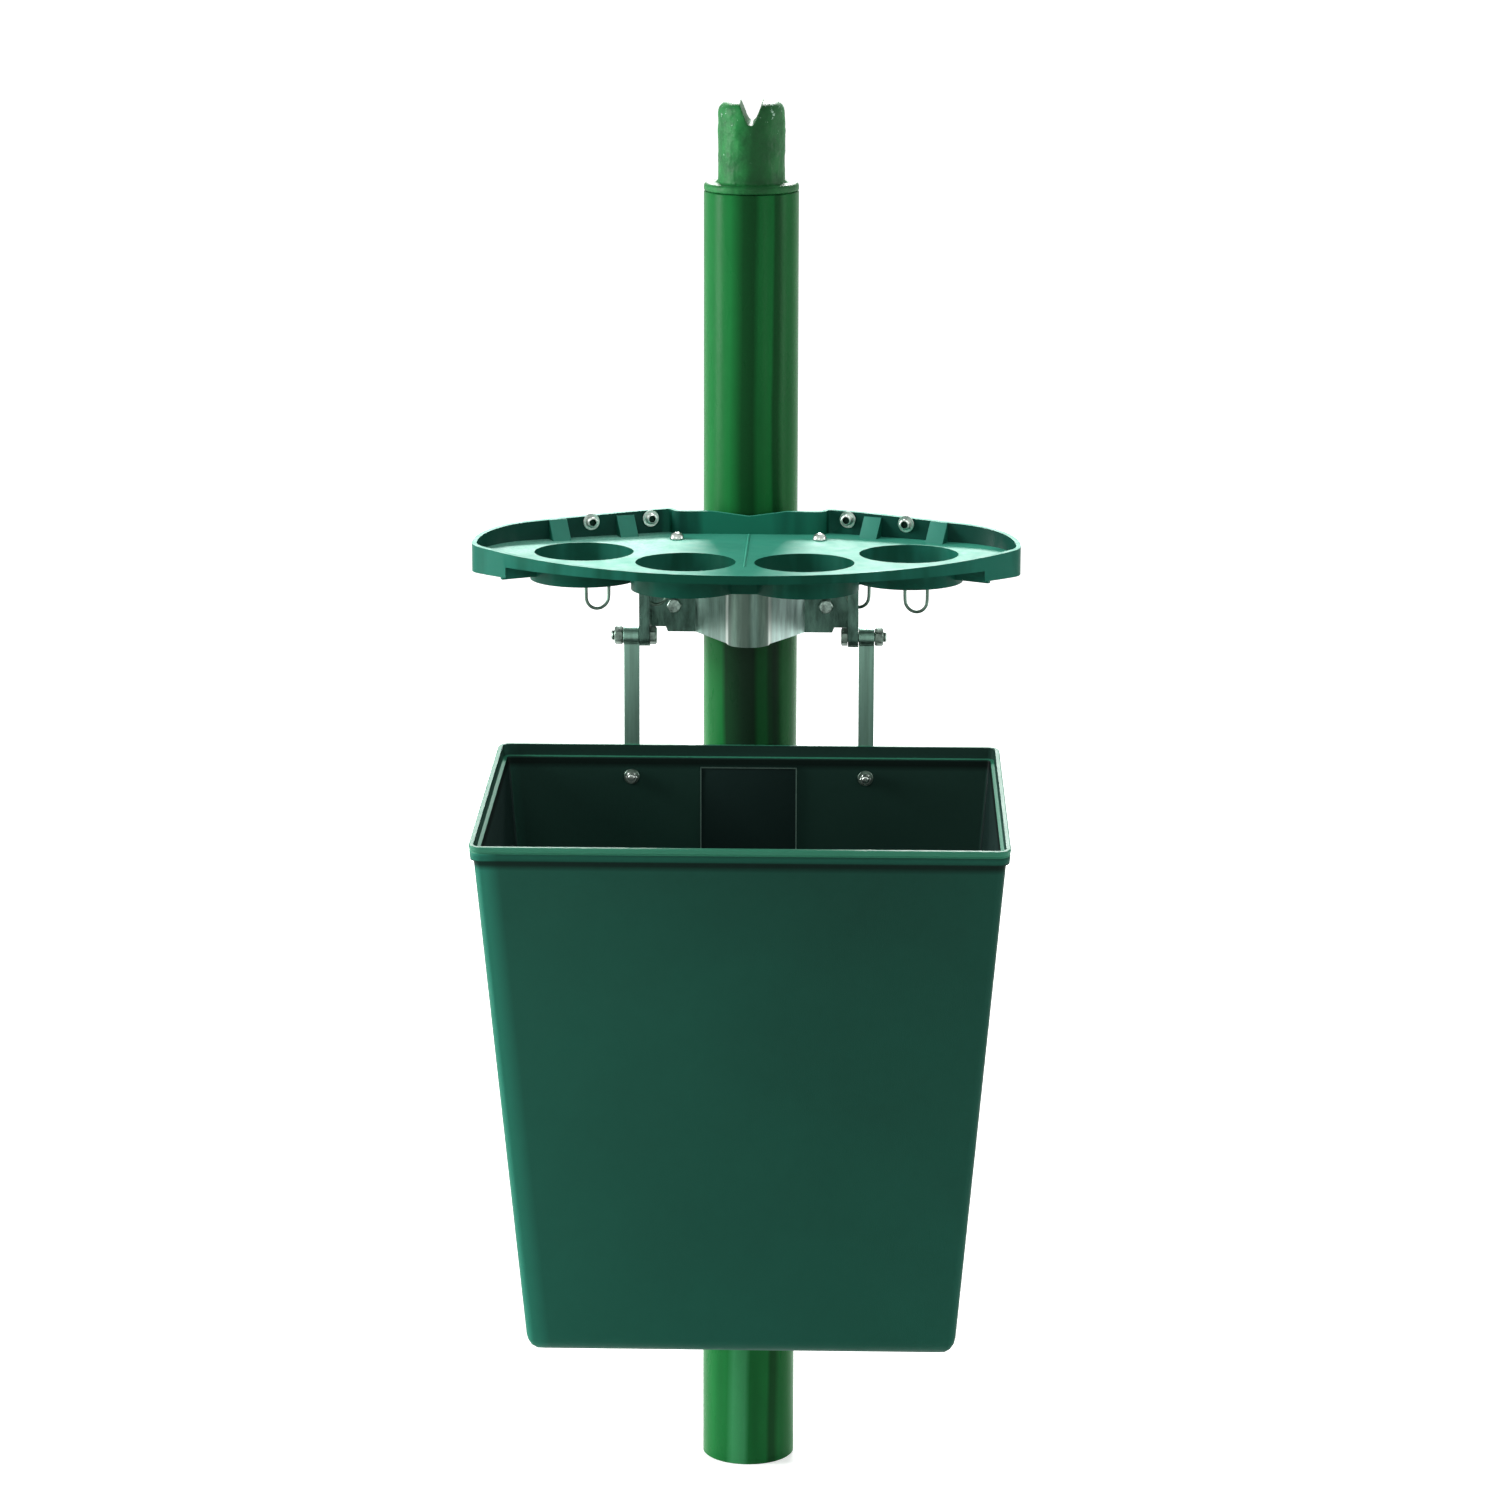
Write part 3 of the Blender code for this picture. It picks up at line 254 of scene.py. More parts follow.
# Strengths of painted light and shade, and of the cap's chips and the wall's random bands
REFLECTION_WANDER = 0.012
REFLECTION_SHARE = 0.90
LOW_HIGHLIGHT_SHARE = 0.80
GAP_SHADE_SHARE = 0.85
GAP_REFLECTION_SHARE = 0.55
CAP_REFLECTION_SHARE = 0.75
CHIP_GAIN = 0.12
NOSE_HIGHLIGHT_SHARE = 0.60
CAST_LINES_SHARE = 0.55
WALL_BANDS_SHARE = 0.60
SHEEN_LEAST = 0.25
EDGE_HIGHLIGHT_SHARE = 0.75
EDGE_HIGHLIGHT_GAIN = 1.9
LIP_SHADOW_SHARE = 0.90
LIP_SHADOW_GAIN = 0.15
LIP_HIGHLIGHT_SHARE = 0.50

# Studio: ramps give where they start and end and the two strengths
FLOOR_SIZE = 60
FLOOR_COLOUR = (0.70, 0.71, 0.70, 1)
FLOOR_GLOW = (0.3, 2.2, 0.58, 0.98)
STUDIO_BACK = (0.80, 0.97, 0.11, 1.4)
STUDIO_TOP = (0.35, 0.90, 0.0, 0.25)
WHITE = (1, 1, 1, 1)

# Lamps, as name, place, target, width, height and power
LAMPS = (
    ("key", (-3.3, -0.40, 1.5), (0, -0.1, 0.65), 1.0, 2.4, 170),
    ("right", (3.2, -0.2, 1.3), (0, -0.1, 0.65), 0.8, 2.2, 32),
    ("strip", (1.9, -2.7, 1.2), (0, -0.1, 0.65), 0.40, 2.0, 11),
    ("front", (-0.6, -3.2, 2.4), (0, -0.1, 0.6), 1.4, 1.0, 18),
    ("back", (0.0, 2.4, 2.45), (0, -0.1, 0.7), 0.8, 0.5, 100),
)


class Nodes:
    """Short calls for the node tree of a material or of the world."""

    def __init__(self, owner, empty=False):
        owner.use_nodes = True
        self.owner = owner
        self.tree = owner.node_tree
        if empty:
            self.tree.nodes.clear()
        self.coordinates = self.new("TexCoord").outputs
        self.place = self.coordinates["Object"]

    def new(self, kind):
        return self.tree.nodes.new("ShaderNode" + kind)

    def link(self, out, into):
        self.tree.links.new(out, into)

    def stretched(self, scale):
        """Object coordinates, stretched by three factors."""
        node = self.new("Mapping")
        node.inputs["Scale"].default_value = scale
        self.link(self.place, node.inputs["Vector"])
        return node.outputs["Vector"]

    def noise(self, scale, detail=3.0, rough=0.5, stretch=(1, 1, 1)):
        node = self.new("TexNoise")
        node.inputs["Scale"].default_value = scale
        node.inputs["Detail"].default_value = detail
        node.inputs["Roughness"].default_value = rough
        self.link(self.stretched(stretch), node.inputs["Vector"])
        return node.outputs["Fac"]

    def cells(self, scale):
        node = self.new("TexVoronoi")
        node.inputs["Scale"].default_value = scale
        self.link(self.place, node.inputs["Vector"])
        return node.outputs["Distance"]

    def span(self, value, low, high, to_low=0.0, to_high=1.0):
        """Carry a value from one range to another, clamped."""
        node = self.new("MapRange")
        for key, number in (("From Min", low), ("From Max", high), ("To Min", to_low), ("To Max", to_high)):
            node.inputs[key].default_value = number
        self.link(value, node.inputs["Value"])
        return node.outputs["Result"]

    def band(self, value, edges, full=1.0, rest=0.0):
        """A rise from 0 to 1 over the first two edges, times a fall over the last two from full to rest."""
        rise_start, rise_end, fall_start, fall_end = edges
        rise = self.span(value, rise_start, rise_end)
        return self.times(rise, self.span(value, fall_start, fall_end, full, rest))

    def maths(self, operation, a, b):
        node = self.new("Math")
        node.operation = operation
        for socket, value in zip(node.inputs, (a, b)):
            if isinstance(value, (int, float)):
                socket.default_value = value
            else:
                self.link(value, socket)
        return node.outputs["Value"]

    def times(self, a, b):
        return self.maths("MULTIPLY", a, b)

    def axis(self, name, vector=None):
        """One part of the place on the object, or of another vector."""
        node = self.new("SeparateXYZ")
        self.link(vector or self.place, node.inputs["Vector"])
        return node.outputs[name]

    def reach(self, name):
        """The distance from the middle along an axis."""
        return self.maths("ABSOLUTE", self.axis(name), 0.0)

    def mix(self, share, first, second):
        node = self.new("Mix")
        node.data_type = "RGBA"
        self.link(share, node.inputs["Factor"])
        for key, value in (("A", first), ("B", second)):
            socket = next(s for s in node.inputs if s.name == key and s.type == "RGBA")
            if isinstance(value, tuple):
                socket.default_value = (*value, 1.0)
            else:
                self.link(value, socket)
        return next(s for s in node.outputs if s.type == "RGBA")

    def bump(self, height, distance, strength=1.0, normal=None):
        node = self.new("Bump")
        node.inputs["Distance"].default_value = distance
        node.inputs["Strength"].default_value = strength
        self.link(height, node.inputs["Height"])
        if normal is not None:
            self.link(normal, node.inputs["Normal"])
        return node.outputs["Normal"]

    def sees_white(self):
        """1 for the rays that show the white background: the camera's, glossy and transmitted ones."""
        path = self.new("LightPath").outputs
        share = path["Is Camera Ray"]
        for name in ("Is Glossy Ray", "Is Transmission Ray"):
            share = self.maths("MAXIMUM", share, path[name])
        return share

    def set(self, **values):
        """Set or link the shader's inputs and give the material back."""
        shader = self.tree.nodes["Principled BSDF"]
        for key, value in values.items():
            socket = shader.inputs[key.replace("_", " ")]
            if isinstance(value, (int, float)):
                socket.default_value = value
            else:
                self.link(value, socket)
        return self.owner


def new_nodes(name):
    return Nodes(bpy.data.materials.new(name))


def scaled(colour, factor):
    return tuple(factor * part for part in colour)


def enamel_material():
    """Green enamel with a faint orange peel and soft runs, and down its front painted dark reflections, a
    painted highlight low down and painted shade between the basket and the tray.
    """
    m = new_nodes("post_enamel")
    streaks = m.times(m.noise(60, 2, 0.5, (1, 1, 0.03)), 0.45)
    runs = m.maths("ADD", m.noise(9, 4, 0.6, (1, 1, 0.25)), streaks)
    tone = m.mix(m.span(runs, 0.55, 1.0), POST_GREEN, POST_GREEN_DARK)
    # Painted dark reflections: a wide and a thin band down the post's front, wandering a little
    wander = m.times(m.maths("SUBTRACT", m.noise(7, 3, 0.5, (1, 1, 0.4)), 0.5), REFLECTION_WANDER)
    across = m.maths("ADD", m.axis("X"), wander)
    height = m.axis("Z")
    front = m.span(m.axis("Y"), *POST_FRONT_Y)
    wide = m.times(m.band(across, WIDE_REFLECTION_X, rest=0.20), m.span(height, *WIDE_REFLECTION_Z))
    thin = m.band(across, THIN_REFLECTION_X, rest=0.35)
    tone = m.mix(m.times(m.maths("MAXIMUM", wide, thin), m.times(front, REFLECTION_SHARE)), tone, POST_PAINTED_REFLECTION)
    # Painted highlight: a pale stripe low down on the post's front
    low = m.times(front, m.span(height, *LOW_HIGHLIGHT_Z, 0.0, LOW_HIGHLIGHT_SHARE))
    tone = m.mix(m.times(m.band(across, LOW_HIGHLIGHT_X), low), tone, POST_PAINTED_HIGHLIGHT)
    # Painted shade on the front between the basket and the tray, lifted by a painted reflection stripe
    stripe = m.span(m.band(across, GAP_REFLECTION_X), 0.0, 1.0, 1.0, GAP_REFLECTION_SHARE)
    shade = m.times(m.band(height, GAP_SHADE_Z), m.times(m.band(across, GAP_SHADE_X, rest=0.3), stripe))
    tone = m.mix(m.times(shade, m.times(front, GAP_SHADE_SHARE)), tone, POST_GAP_SHADE)
    dull = m.span(m.noise(40, 5, 0.6, (1, 1, 0.3)), 0.40, 0.75, 0.26, 0.36)
    peel = m.bump(m.noise(260, 2), 0.0003, 0.30)
    return m.set(Base_Color=tone, Roughness=dull, Normal=peel, Specular_IOR_Level=0.05)


def cast_enamel_material():
    """The same paint over a rough casting, chipped pale along its top, with a painted dark reflection down
    its front.
    """
    m = new_nodes("cast_enamel")
    worn = m.times(m.span(m.axis("Z"), *CAP_CHIPPED_Z), CHIP_GAIN)
    chips = m.span(m.maths("ADD", m.noise(170, 5, 0.7), worn), *CHIP_LEVELS)
    tone = m.mix(m.span(m.noise(60, 5, 0.65), 0.35, 0.65), POST_GREEN, POST_GREEN_DARK)
    # Painted dark reflection band down the stub's front
    front = m.span(m.axis("Y"), *CAP_FRONT_Y, 0.0, CAP_REFLECTION_SHARE)
    tone = m.mix(m.times(m.band(m.axis("X"), CAP_REFLECTION_X, rest=0.5), front), tone, POST_PAINTED_REFLECTION)
    rough = m.bump(m.noise(330, 4, 0.65), 0.0008, 0.5)
    return m.set(Base_Color=m.mix(chips, tone, CHIP_GREEN), Roughness=0.46, Normal=rough,
                 Specular_IOR_Level=0.16)


def tray_material(name, light, dark, level, roughness, grain_strength=0.22, light_spread=None, painted_sheen=None):
    """Semi-gloss moulded plastic with a fine grain.

    Where asked, painted light and shade share the two tones out across the tray by the distance from its
    middle, and a painted sheen lays a speckled pale patch on its rear left.
    """
    m = new_nodes(name)
    if light_spread:
        # Painted light and shade by the distance from the middle, wandering in random bands
        bands = m.span(m.noise(34, 3, 0.5, (1, 1, 0.15)), 0.42, 0.58, -0.5, 0.5)
        wander = m.times(bands, WALL_BANDS_SHARE * (light_spread[1] - light_spread[0]))
        share = m.span(m.maths("ADD", m.reach("X"), wander), *light_spread)
    else:
        share = m.span(m.noise(22, 5, 0.6), 0.38, 0.68)
    tone = m.mix(share, light, dark)
    if painted_sheen:
        # Painted sheen: pale speckles on the deck's rear left
        left = m.times(m.span(m.axis("X"), *SHEEN_PATCH_X), m.span(m.axis("Y"), *SHEEN_PATCH_Y))
        specks = m.span(m.noise(420, 4, 0.7), 0.40, 0.60, SHEEN_LEAST, painted_sheen)
        tone = m.mix(m.times(left, specks), tone, TRAY_PAINTED_SHEEN)
    grain = m.bump(m.noise(500, 3, 0.6), 0.0002, grain_strength)
    waves = m.bump(m.noise(24, 3), 0.0012, 0.22, grain)
    dull = m.span(m.noise(90, 5, 0.65), 0.35, 0.70, roughness, roughness + 0.14)
    return m.set(Base_Color=tone, Roughness=dull, Normal=waves, Specular_IOR_Level=level)


def basket_material(name, light, dark):
    """Satin moulded plastic with grain and scuffs, painted lighter to its left and low down, with a painted
    highlight down the front's left edge, a painted shadow under the lip and a painted highlight band on the
    lip.
    """
    m = new_nodes(name)
    across, height = m.axis("X"), m.axis("Z")
    # Painted light: lighter to the left and low down, mixed with a random mottle
    low = m.maths("ADD", m.span(height, *BASKET_LIGHT_LOW_Z), m.span(across, *BASKET_LIGHT_LEFT_X, 0.0, 0.5))
    mottle_and_light = m.maths("ADD", m.times(low, 0.7), m.times(m.noise(9, 5, 0.6), 0.5))
    tone = m.mix(m.span(mottle_and_light, 0.2, 1.3), dark, light)
    # Painted highlight down the left edge of the front
    side = m.maths("ADD", across, m.times(height, BASKET_TAPER))
    facing = m.span(m.axis("Y", m.coordinates["Normal"]), *EDGE_HIGHLIGHT_FACING_Y)
    tone = m.mix(m.times(m.span(side, *LEFT_EDGE_HIGHLIGHT, 0.0, EDGE_HIGHLIGHT_SHARE), facing), tone, scaled(light, EDGE_HIGHLIGHT_GAIN))
    # Painted shadow under the lip
    level = m.maths("SUBTRACT", height, m.times(m.axis("Y"), math.tan(RIM_TILT)))
    tone = m.mix(m.band(level, LIP_SHADOW, full=LIP_SHADOW_SHARE), tone, scaled(dark, LIP_SHADOW_GAIN))
    # Painted highlight on the lip's band
    tone = m.mix(m.band(level, LIP_HIGHLIGHT, full=LIP_HIGHLIGHT_SHARE), tone, light)
    grain = m.bump(m.cells(1300), 0.0002, 0.25)
    scuffs = m.bump(m.noise(500, 3, 0.6, (1, 1, 0.08)), 0.00015, 0.25, grain)
    dull = m.span(m.noise(30, 5, 0.6), 0.3, 0.7, 0.40, 0.52)
    return m.set(Base_Color=tone, Roughness=dull, Normal=scuffs, Specular_IOR_Level=0.05)


def metal_material(name, colour, roughness, stretch, size, contrast, depth):
    """A bare metal with streaks along one direction and slight tarnish."""
    m = new_nodes(name)
    tone = m.mix(m.span(m.noise(size, 4, 0.6, stretch), 0.38, 0.66), colour, scaled(colour, 1 - contrast))
    dull = m.span(m.noise(60, 5, 0.6, stretch), 0.3, 0.7, roughness, roughness + 0.14)
    lines = m.bump(m.noise(4 * size, 4, 0.6, stretch), depth, 0.6)
    return m.set(Base_Color=tone, Roughness=dull, Normal=lines, Metallic=1.0)


def cast_material():
    """Bare cast aluminium, drawn along Z, with painted shade on its nose and a painted highlight streak down
    it, and painted highlights on its right wall and along the bends beside the nose.
    """
    m = new_nodes("cast_aluminium")
    across, reach = m.axis("X"), m.reach("X")
    # Painted highlight on the right wall, painted shade on the nose
    tone = m.mix(m.span(across, *RIGHT_WALL_HIGHLIGHT_X), CAST_GREY, CAST_PAINTED_HIGHLIGHT)
    tone = m.mix(m.span(reach, *NOSE_SHADE_X), tone, NOSE_PAINTED_SHADE)
    # A painted highlight streak down the nose
    tone = m.mix(m.times(m.band(across, NOSE_HIGHLIGHT_X), NOSE_HIGHLIGHT_SHARE), tone, CAST_GREY)
    # Painted highlights along the bends, in the steel's grey
    tone = m.mix(m.band(reach, BEND_HIGHLIGHT_X), tone, STEEL_GREY)
    lines = m.noise(110, 5, 0.65, (1, 1, 0.14))
    tone = m.mix(m.span(lines, 0.42, 0.70, 0.0, CAST_LINES_SHARE), tone, SOCKET_DARK)
    dull = m.span(m.noise(60, 5, 0.6, (1, 1, 0.1)), 0.3, 0.7, 0.38, 0.52)
    drawn = m.bump(m.noise(440, 4, 0.6, (1, 1, 0.05)), 0.0004, 0.5)
    pits = m.bump(m.noise(700, 3, 0.7), 0.0002, 0.5, drawn)
    return m.set(Base_Color=tone, Roughness=dull, Normal=pits, Metallic=1.0)


# The tray's plastics, as light and dark tone, specular level, roughness and what sets each apart. The wall,
# gusset and outside ones are copies of the deck's plastic in darker tones, as painted shade, and the basket's
# rim is a paler copy, as a painted highlight.
TRAY_PLASTICS = {
    "tray_plastic": (TRAY_GREEN, TRAY_GREEN_DARK, 0.24, 0.52, {"grain_strength": 0.80, "painted_sheen": 0.55}),
    "tray_wall": (TRAY_WALL_GREEN, TRAY_WALL_DARK, 0.10, 0.38, {"light_spread": WALL_LIGHT_SPREAD_X}),
    "tray_gusset": (TRAY_GUSSET, TRAY_GUSSET, 0.20, 0.40, {}),
    "tray_outside": (TRAY_OUTSIDE_DARK, TRAY_OUTSIDE, 0.05, 0.34, {"light_spread": OUTSIDE_LIGHT_SPREAD_X}),
    "basket_rim": (BASKET_RIM_HIGHLIGHT, BASKET_RIM_HIGHLIGHT, 0.16, 0.36, {}),
}

# The basket's plastics, as light and dark tone; the inside one is painted shade, and the pad's face also
# serves as painted shade on the inner side walls
BASKET_PLASTICS = {
    "basket_plastic": (BASKET_GREEN_LIGHT, BASKET_GREEN),
    "basket_inside": (BASKET_INSIDE_SHADE, BASKET_INSIDE_SHADE_DARK),
    "pad_face": (PAD_DARK, PAD_DARK),
    "pad_edge": (PAD_EDGE_GREEN, PAD_EDGE_GREEN),
}

# Metals, as colour, roughness, the streaks' stretch and size, contrast, and depth of the lines
METALS = {
    # Painted shade on the clamp's arms and lugs
    "cast_shade": (CAST_SHADE, 0.44, (1, 1, 0.3), 140, 0.55, 0.0008),
    "strap_metal": (STRAP_GREY, 0.36, (1, 1, 0.04), 240, 0.30, 0.0002),
    "hook_wire": (HOOK_ZINC, 0.38, (1, 1, 1), 120, 0.35, 0.0001),
    "dull_zinc": (DULL_ZINC, 0.34, (1, 1, 1), 150, 0.60, 0.0002),
    "bolt_zinc": (BOLT_ZINC, 0.30, (1, 1, 1), 500, 0.60, 0.0003),
    # Painted shade inside the screws' sockets
    "socket_dark": (SOCKET_DARK, 0.50, (1, 1, 1), 150, 0.30, 0.0001),
    "fastener_steel": (STEEL_GREY, 0.24, (1, 1, 1), 160, 0.45, 0.0001),
}

materials = {
    "post_enamel": enamel_material(),
    "cast_enamel": cast_enamel_material(),
    "cast_aluminium": cast_material(),
}
for name, (light, dark, level, roughness, extras) in TRAY_PLASTICS.items():
    materials[name] = tray_material(name, light, dark, level, roughness, **extras)
for name, tones in BASKET_PLASTICS.items():
    materials[name] = basket_material(name, *tones)
for name, row in METALS.items():
    materials[name] = metal_material(name, *row)

# How a node's name starts, its material, and a record slot that the script does not use
LOOKS = (
    ("post_tube", "post_enamel", "post_enamel"),
    ("post_cap", "cast_enamel", "post_enamel"),
    ("clamp_saddle", "cast_aluminium", "cast_aluminium"),
    ("rear_clamp", "cast_aluminium", "cast_aluminium"),
    ("cup_tray", "tray_plastic", "tray_plastic"),
    ("litter_basket", "basket_plastic", "basket_plastic"),
    ("hanger_strap", "strap_metal", "strap_metal"),
    ("hook_inner", "hook_wire", "hook_wire"),
    ("hook_outer", "hook_wire", "hook_wire"),
    ("pivot_", "dull_zinc", "fastener_steel"),
    ("clamp_nut", "dull_zinc", "fastener_steel"),
    ("basket_washer", "dull_zinc", "fastener_steel"),
    ("clamp_bolt", "bolt_zinc", "fastener_steel"),
    ("", "fastener_steel", "fastener_steel"),
)


def add_piece(name, mesh, node, look=None, stands_for=True, sharp=True):
    """Put a finished mesh in the scene as a piece that rides with a CAD node and may stand for it."""
    own_look, slot = next(row[1:] for row in LOOKS if node.startswith(row[0]))
    mesh.materials.clear()
    mesh.materials.append(materials[look or own_look])
    mesh.shade_smooth()
    if sharp:
        mesh.set_sharp_from_angle(angle=SHARP_ANGLE)
    piece = bpy.data.objects.new(name, mesh)
    bpy.context.scene.collection.objects.link(piece)
    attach(piece, frame["nodes"][node]["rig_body"])
    if stands_for:
        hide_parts(node)
    return piece


def dressed(node, rounding=0.0, smooth_levels=0):
    """A copy of a CAD node with its edges rounded, or smoothed all over, which stands for the node."""
    mesh = frame["nodes"][node].data.copy()
    bm = bmesh.new()
    bm.from_mesh(mesh)
    bmesh.ops.remove_doubles(bm, verts=bm.verts, dist=SAME_POINT)
    if not smooth_levels:
        bmesh.ops.dissolve_limit(bm, angle_limit=FLAT_ANGLE, verts=bm.verts, edges=bm.edges)
    bm.to_mesh(mesh)
    bm.free()
    piece = add_piece(node + "_finish", mesh, node, sharp=bool(rounding))
    if smooth_levels:
        finer = piece.modifiers.new("smooth wire", "SUBSURF")
        finer.levels = finer.render_levels = smooth_levels
    elif rounding:
        bevel = piece.modifiers.new("rounded edges", "BEVEL")
        bevel.width = rounding
        bevel.segments = 2
        bevel.limit_method = "ANGLE"
        bevel.angle_limit = BEVEL_ANGLE
        bevel.harden_normals = True
    return piece


def rings_mesh(name, rings, closed=False):
    """Bridge rings of equally many points into a mesh; a closed one meets itself."""
    bm = bmesh.new()
    loops = [[bm.verts.new(p) for p in points] for points in rings]
    pairs = list(zip(loops, loops[1:]))
    if closed:
        pairs.append((loops[-1], loops[0]))
    for lower, upper in pairs:
        for i in range(len(lower)):
            j = (i + 1) % len(lower)
            bm.faces.new((lower[i], lower[j], upper[j], upper[i]))
    if not closed:
        bm.faces.new(reversed(loops[0]))
        bm.faces.new(loops[-1])
    bmesh.ops.recalc_face_normals(bm, faces=bm.faces)
    mesh = bpy.data.meshes.new(name)
    bm.to_mesh(mesh)
    bm.free()
    return mesh


def ring(steps, radius, height, flats=0):
    """Points round the Z axis, on a circle or on a polygon with blunt corners."""
    points = []
    for i in range(steps):
        angle = math.tau * i / steps
        reach = radius
        if flats:
            turn = (angle % (math.tau / flats)) - math.pi / flats
            reach = min(radius / math.cos(turn), BLUNT_CORNER * radius)
        points.append(Vector((reach * math.cos(angle), reach * math.sin(angle), height)))
    return points


def turned(name, profile, steps=TURNED_STEPS, closed=False):
    """A solid of revolution from (radius, height) or (radius, height, flats) entries."""
    return rings_mesh(name, [ring(steps, *entry) for entry in profile], closed)


def middle(node):
    low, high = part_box(node)
    return (low + high) / 2


def shaft(radius, plain, end, pitch):
    """A screw's shank and thread, as profile entries from its head's seat to its end."""
    root = THREAD_ROOT * radius
    profile = [(radius, 0.0), (radius, plain)]
    z = plain + 0.2 * pitch
    while z + pitch < end:
        profile += [(root, z), (radius, z + 0.4 * pitch), (radius, z + 0.6 * pitch)]
        z += pitch
    return profile + [(root, z), (SHAFT_TIP * radius, end)]


def hex_head(flat_radius, height):
    return [(0.90 * flat_radius, -height), (flat_radius, -0.84 * height, 6), (flat_radius, 0.0, 6)]


def dome_head(radius, height):
    angles = [math.radians(d) for d in (6, 20, 35, 50, 65, 78)]
    crown = [(radius * math.sin(a), -height * math.cos(a)) for a in angles]
    return crown + [(radius, -0.1 * height), (radius, 0.0)]


def socket_head(radius, height, socket):
    """A round head with a hexagon socket and a soft outer edge."""
    return [(socket, -0.25 * height, 6), (socket, -0.94 * height, 6), (1.10 * socket, -height),
            (0.80 * radius, -height), (0.93 * radius, -0.90 * height), (radius, -0.65 * height),
            (radius, 0.0)]


def nut_profile(bore, flat_radius, height):
    return [(bore, 0.0), (0.93 * flat_radius, 0.0), (flat_radius, 0.14 * height, 6),
            (flat_radius, 0.86 * height, 6), (0.93 * flat_radius, height), (bore, height)]


def washer_profile(bore, radius, thickness):
    edge = 0.25 * thickness
    return [(bore, 0.0), (radius - edge, 0.0), (radius, edge), (radius, thickness - edge),
            (radius - edge, thickness), (bore, thickness)]


def fit(node, profile, point, direction, closed=False):
    """Stand a turned piece in a CAD fastener's place, its Z axis along a direction."""
    mesh = turned(node + "_finish", profile, closed=closed)
    turn = Vector((0, 0, 1)).rotation_difference(Vector(direction)).to_matrix().to_4x4()
    mesh.transform(Matrix.Translation(point) @ turn)
    return add_piece(node + "_finish", mesh, node)


def build_hook_parts(end, side):
    """A hook's screw with its socket, the washer under its head and the nut behind the wall."""
    along = Vector((side * math.sin(REAR_SLOPE), math.cos(REAR_SLOPE), 0.0))
    centre = middle("hook_washer_" + end)
    profile = socket_head(*HOOK_HEAD) + shaft(*HOOK_SHAFT)
    screw = fit("hook_screw_" + end, profile, centre - along * HOOK_HEAD_AHEAD, along)
    # Painted shade inside the socket
    screw.data.materials.append(materials["socket_dark"])
    for face in screw.data.polygons:
        reach = face.center - centre
        depth = reach.dot(along)
        if (reach - along * depth).length < SOCKET_REACH and depth < -SOCKET_START:
            face.material_index = 1
    fit("hook_washer_" + end, washer_profile(*HOOK_WASHER), centre - along * HOOK_WASHER_AHEAD, along, True)
    fit("hook_nut_" + end, nut_profile(*HOOK_NUT), centre + along * HOOK_NUT_BEHIND, along, True)


def build_fasteners():
    """Finer bolts, screws, washers and nuts with threads, in place of the CAD ones."""
    for side_name, side in (("left", -1), ("right", 1)):
        for label in ("inner", "outer"):
            build_hook_parts(f"{label}_{side_name}", side)

        for level in ("lower", "upper"):
            bolt, nut = f"clamp_bolt_{level}_{side_name}", f"clamp_nut_{level}_{side_name}"
            centre, low = middle(bolt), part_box(bolt)[0]
            seat = Vector((centre.x, low.y + CLAMP_HEAD[1], centre.z))
            fit(bolt, hex_head(*CLAMP_HEAD) + shaft(*CLAMP_SHAFT), seat, (0, 1, 0))
            foot = Vector((centre.x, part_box(nut)[0].y, centre.z))
            fit(nut, nut_profile(*CLAMP_NUT), foot, (0, 1, 0), True)

        bolt, nut = f"tray_bolt_{side_name}", f"tray_nut_{side_name}"
        centre = middle(bolt)
        seat = Vector((centre.x, centre.y, DECK_Z + TRAY_HEAD_LIFT))
        fit(bolt, dome_head(*TRAY_HEAD) + shaft(*TRAY_SHAFT), seat, (0, 0, -1))
        foot = Vector((centre.x, centre.y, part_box(nut)[1].z))
        fit(nut, nut_profile(*TRAY_NUT), foot, (0, 0, -1), True)

        bolt, nut = f"pivot_bolt_{side_name}", f"pivot_nut_{side_name}"
        centre = middle(bolt)
        seat = Vector((side * PIVOT_HEAD_X, centre.y, centre.z))
        fit(bolt, hex_head(*PIVOT_HEAD) + shaft(*PIVOT_SHAFT), seat, (side, 0, 0))
        foot = Vector((side * PIVOT_NUT_X, centre.y, centre.z))
        fit(nut, nut_profile(*PIVOT_NUT), foot, (side, 0, 0), True)

        screw = f"basket_screw_{side_name}"
        centre = middle(screw)
        seat = Vector((centre.x, BASKET_HEAD_Y, centre.z))
        fit(screw, dome_head(*BASKET_HEAD) + shaft(*BASKET_SHAFT), seat, (0, -1, 0))
        for label, profile in (("washer", washer_profile(*BASKET_WASHER)), ("nut", nut_profile(*BASKET_NUT))):
            node = f"basket_{label}_{side_name}"
            foot = Vector((centre.x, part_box(node)[1].y, centre.z))
            fit(node, profile, foot, (0, -1, 0), True)


def build_post():
    """The tube with a fine rounding on its ends."""
    low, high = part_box("post_tube")
    outer, edge = high.x, POST_EDGE
    inner = outer - POST_WALL
    profile = [(inner + edge, low.z), (outer - edge, low.z), (outer, low.z + edge), (outer, high.z - edge),
               (outer - edge, high.z), (inner + edge, high.z), (inner, high.z - edge), (inner, low.z + edge)]
    add_piece("post_tube_finish", turned("post_tube_finish", profile, POST_STEPS, True), "post_tube")


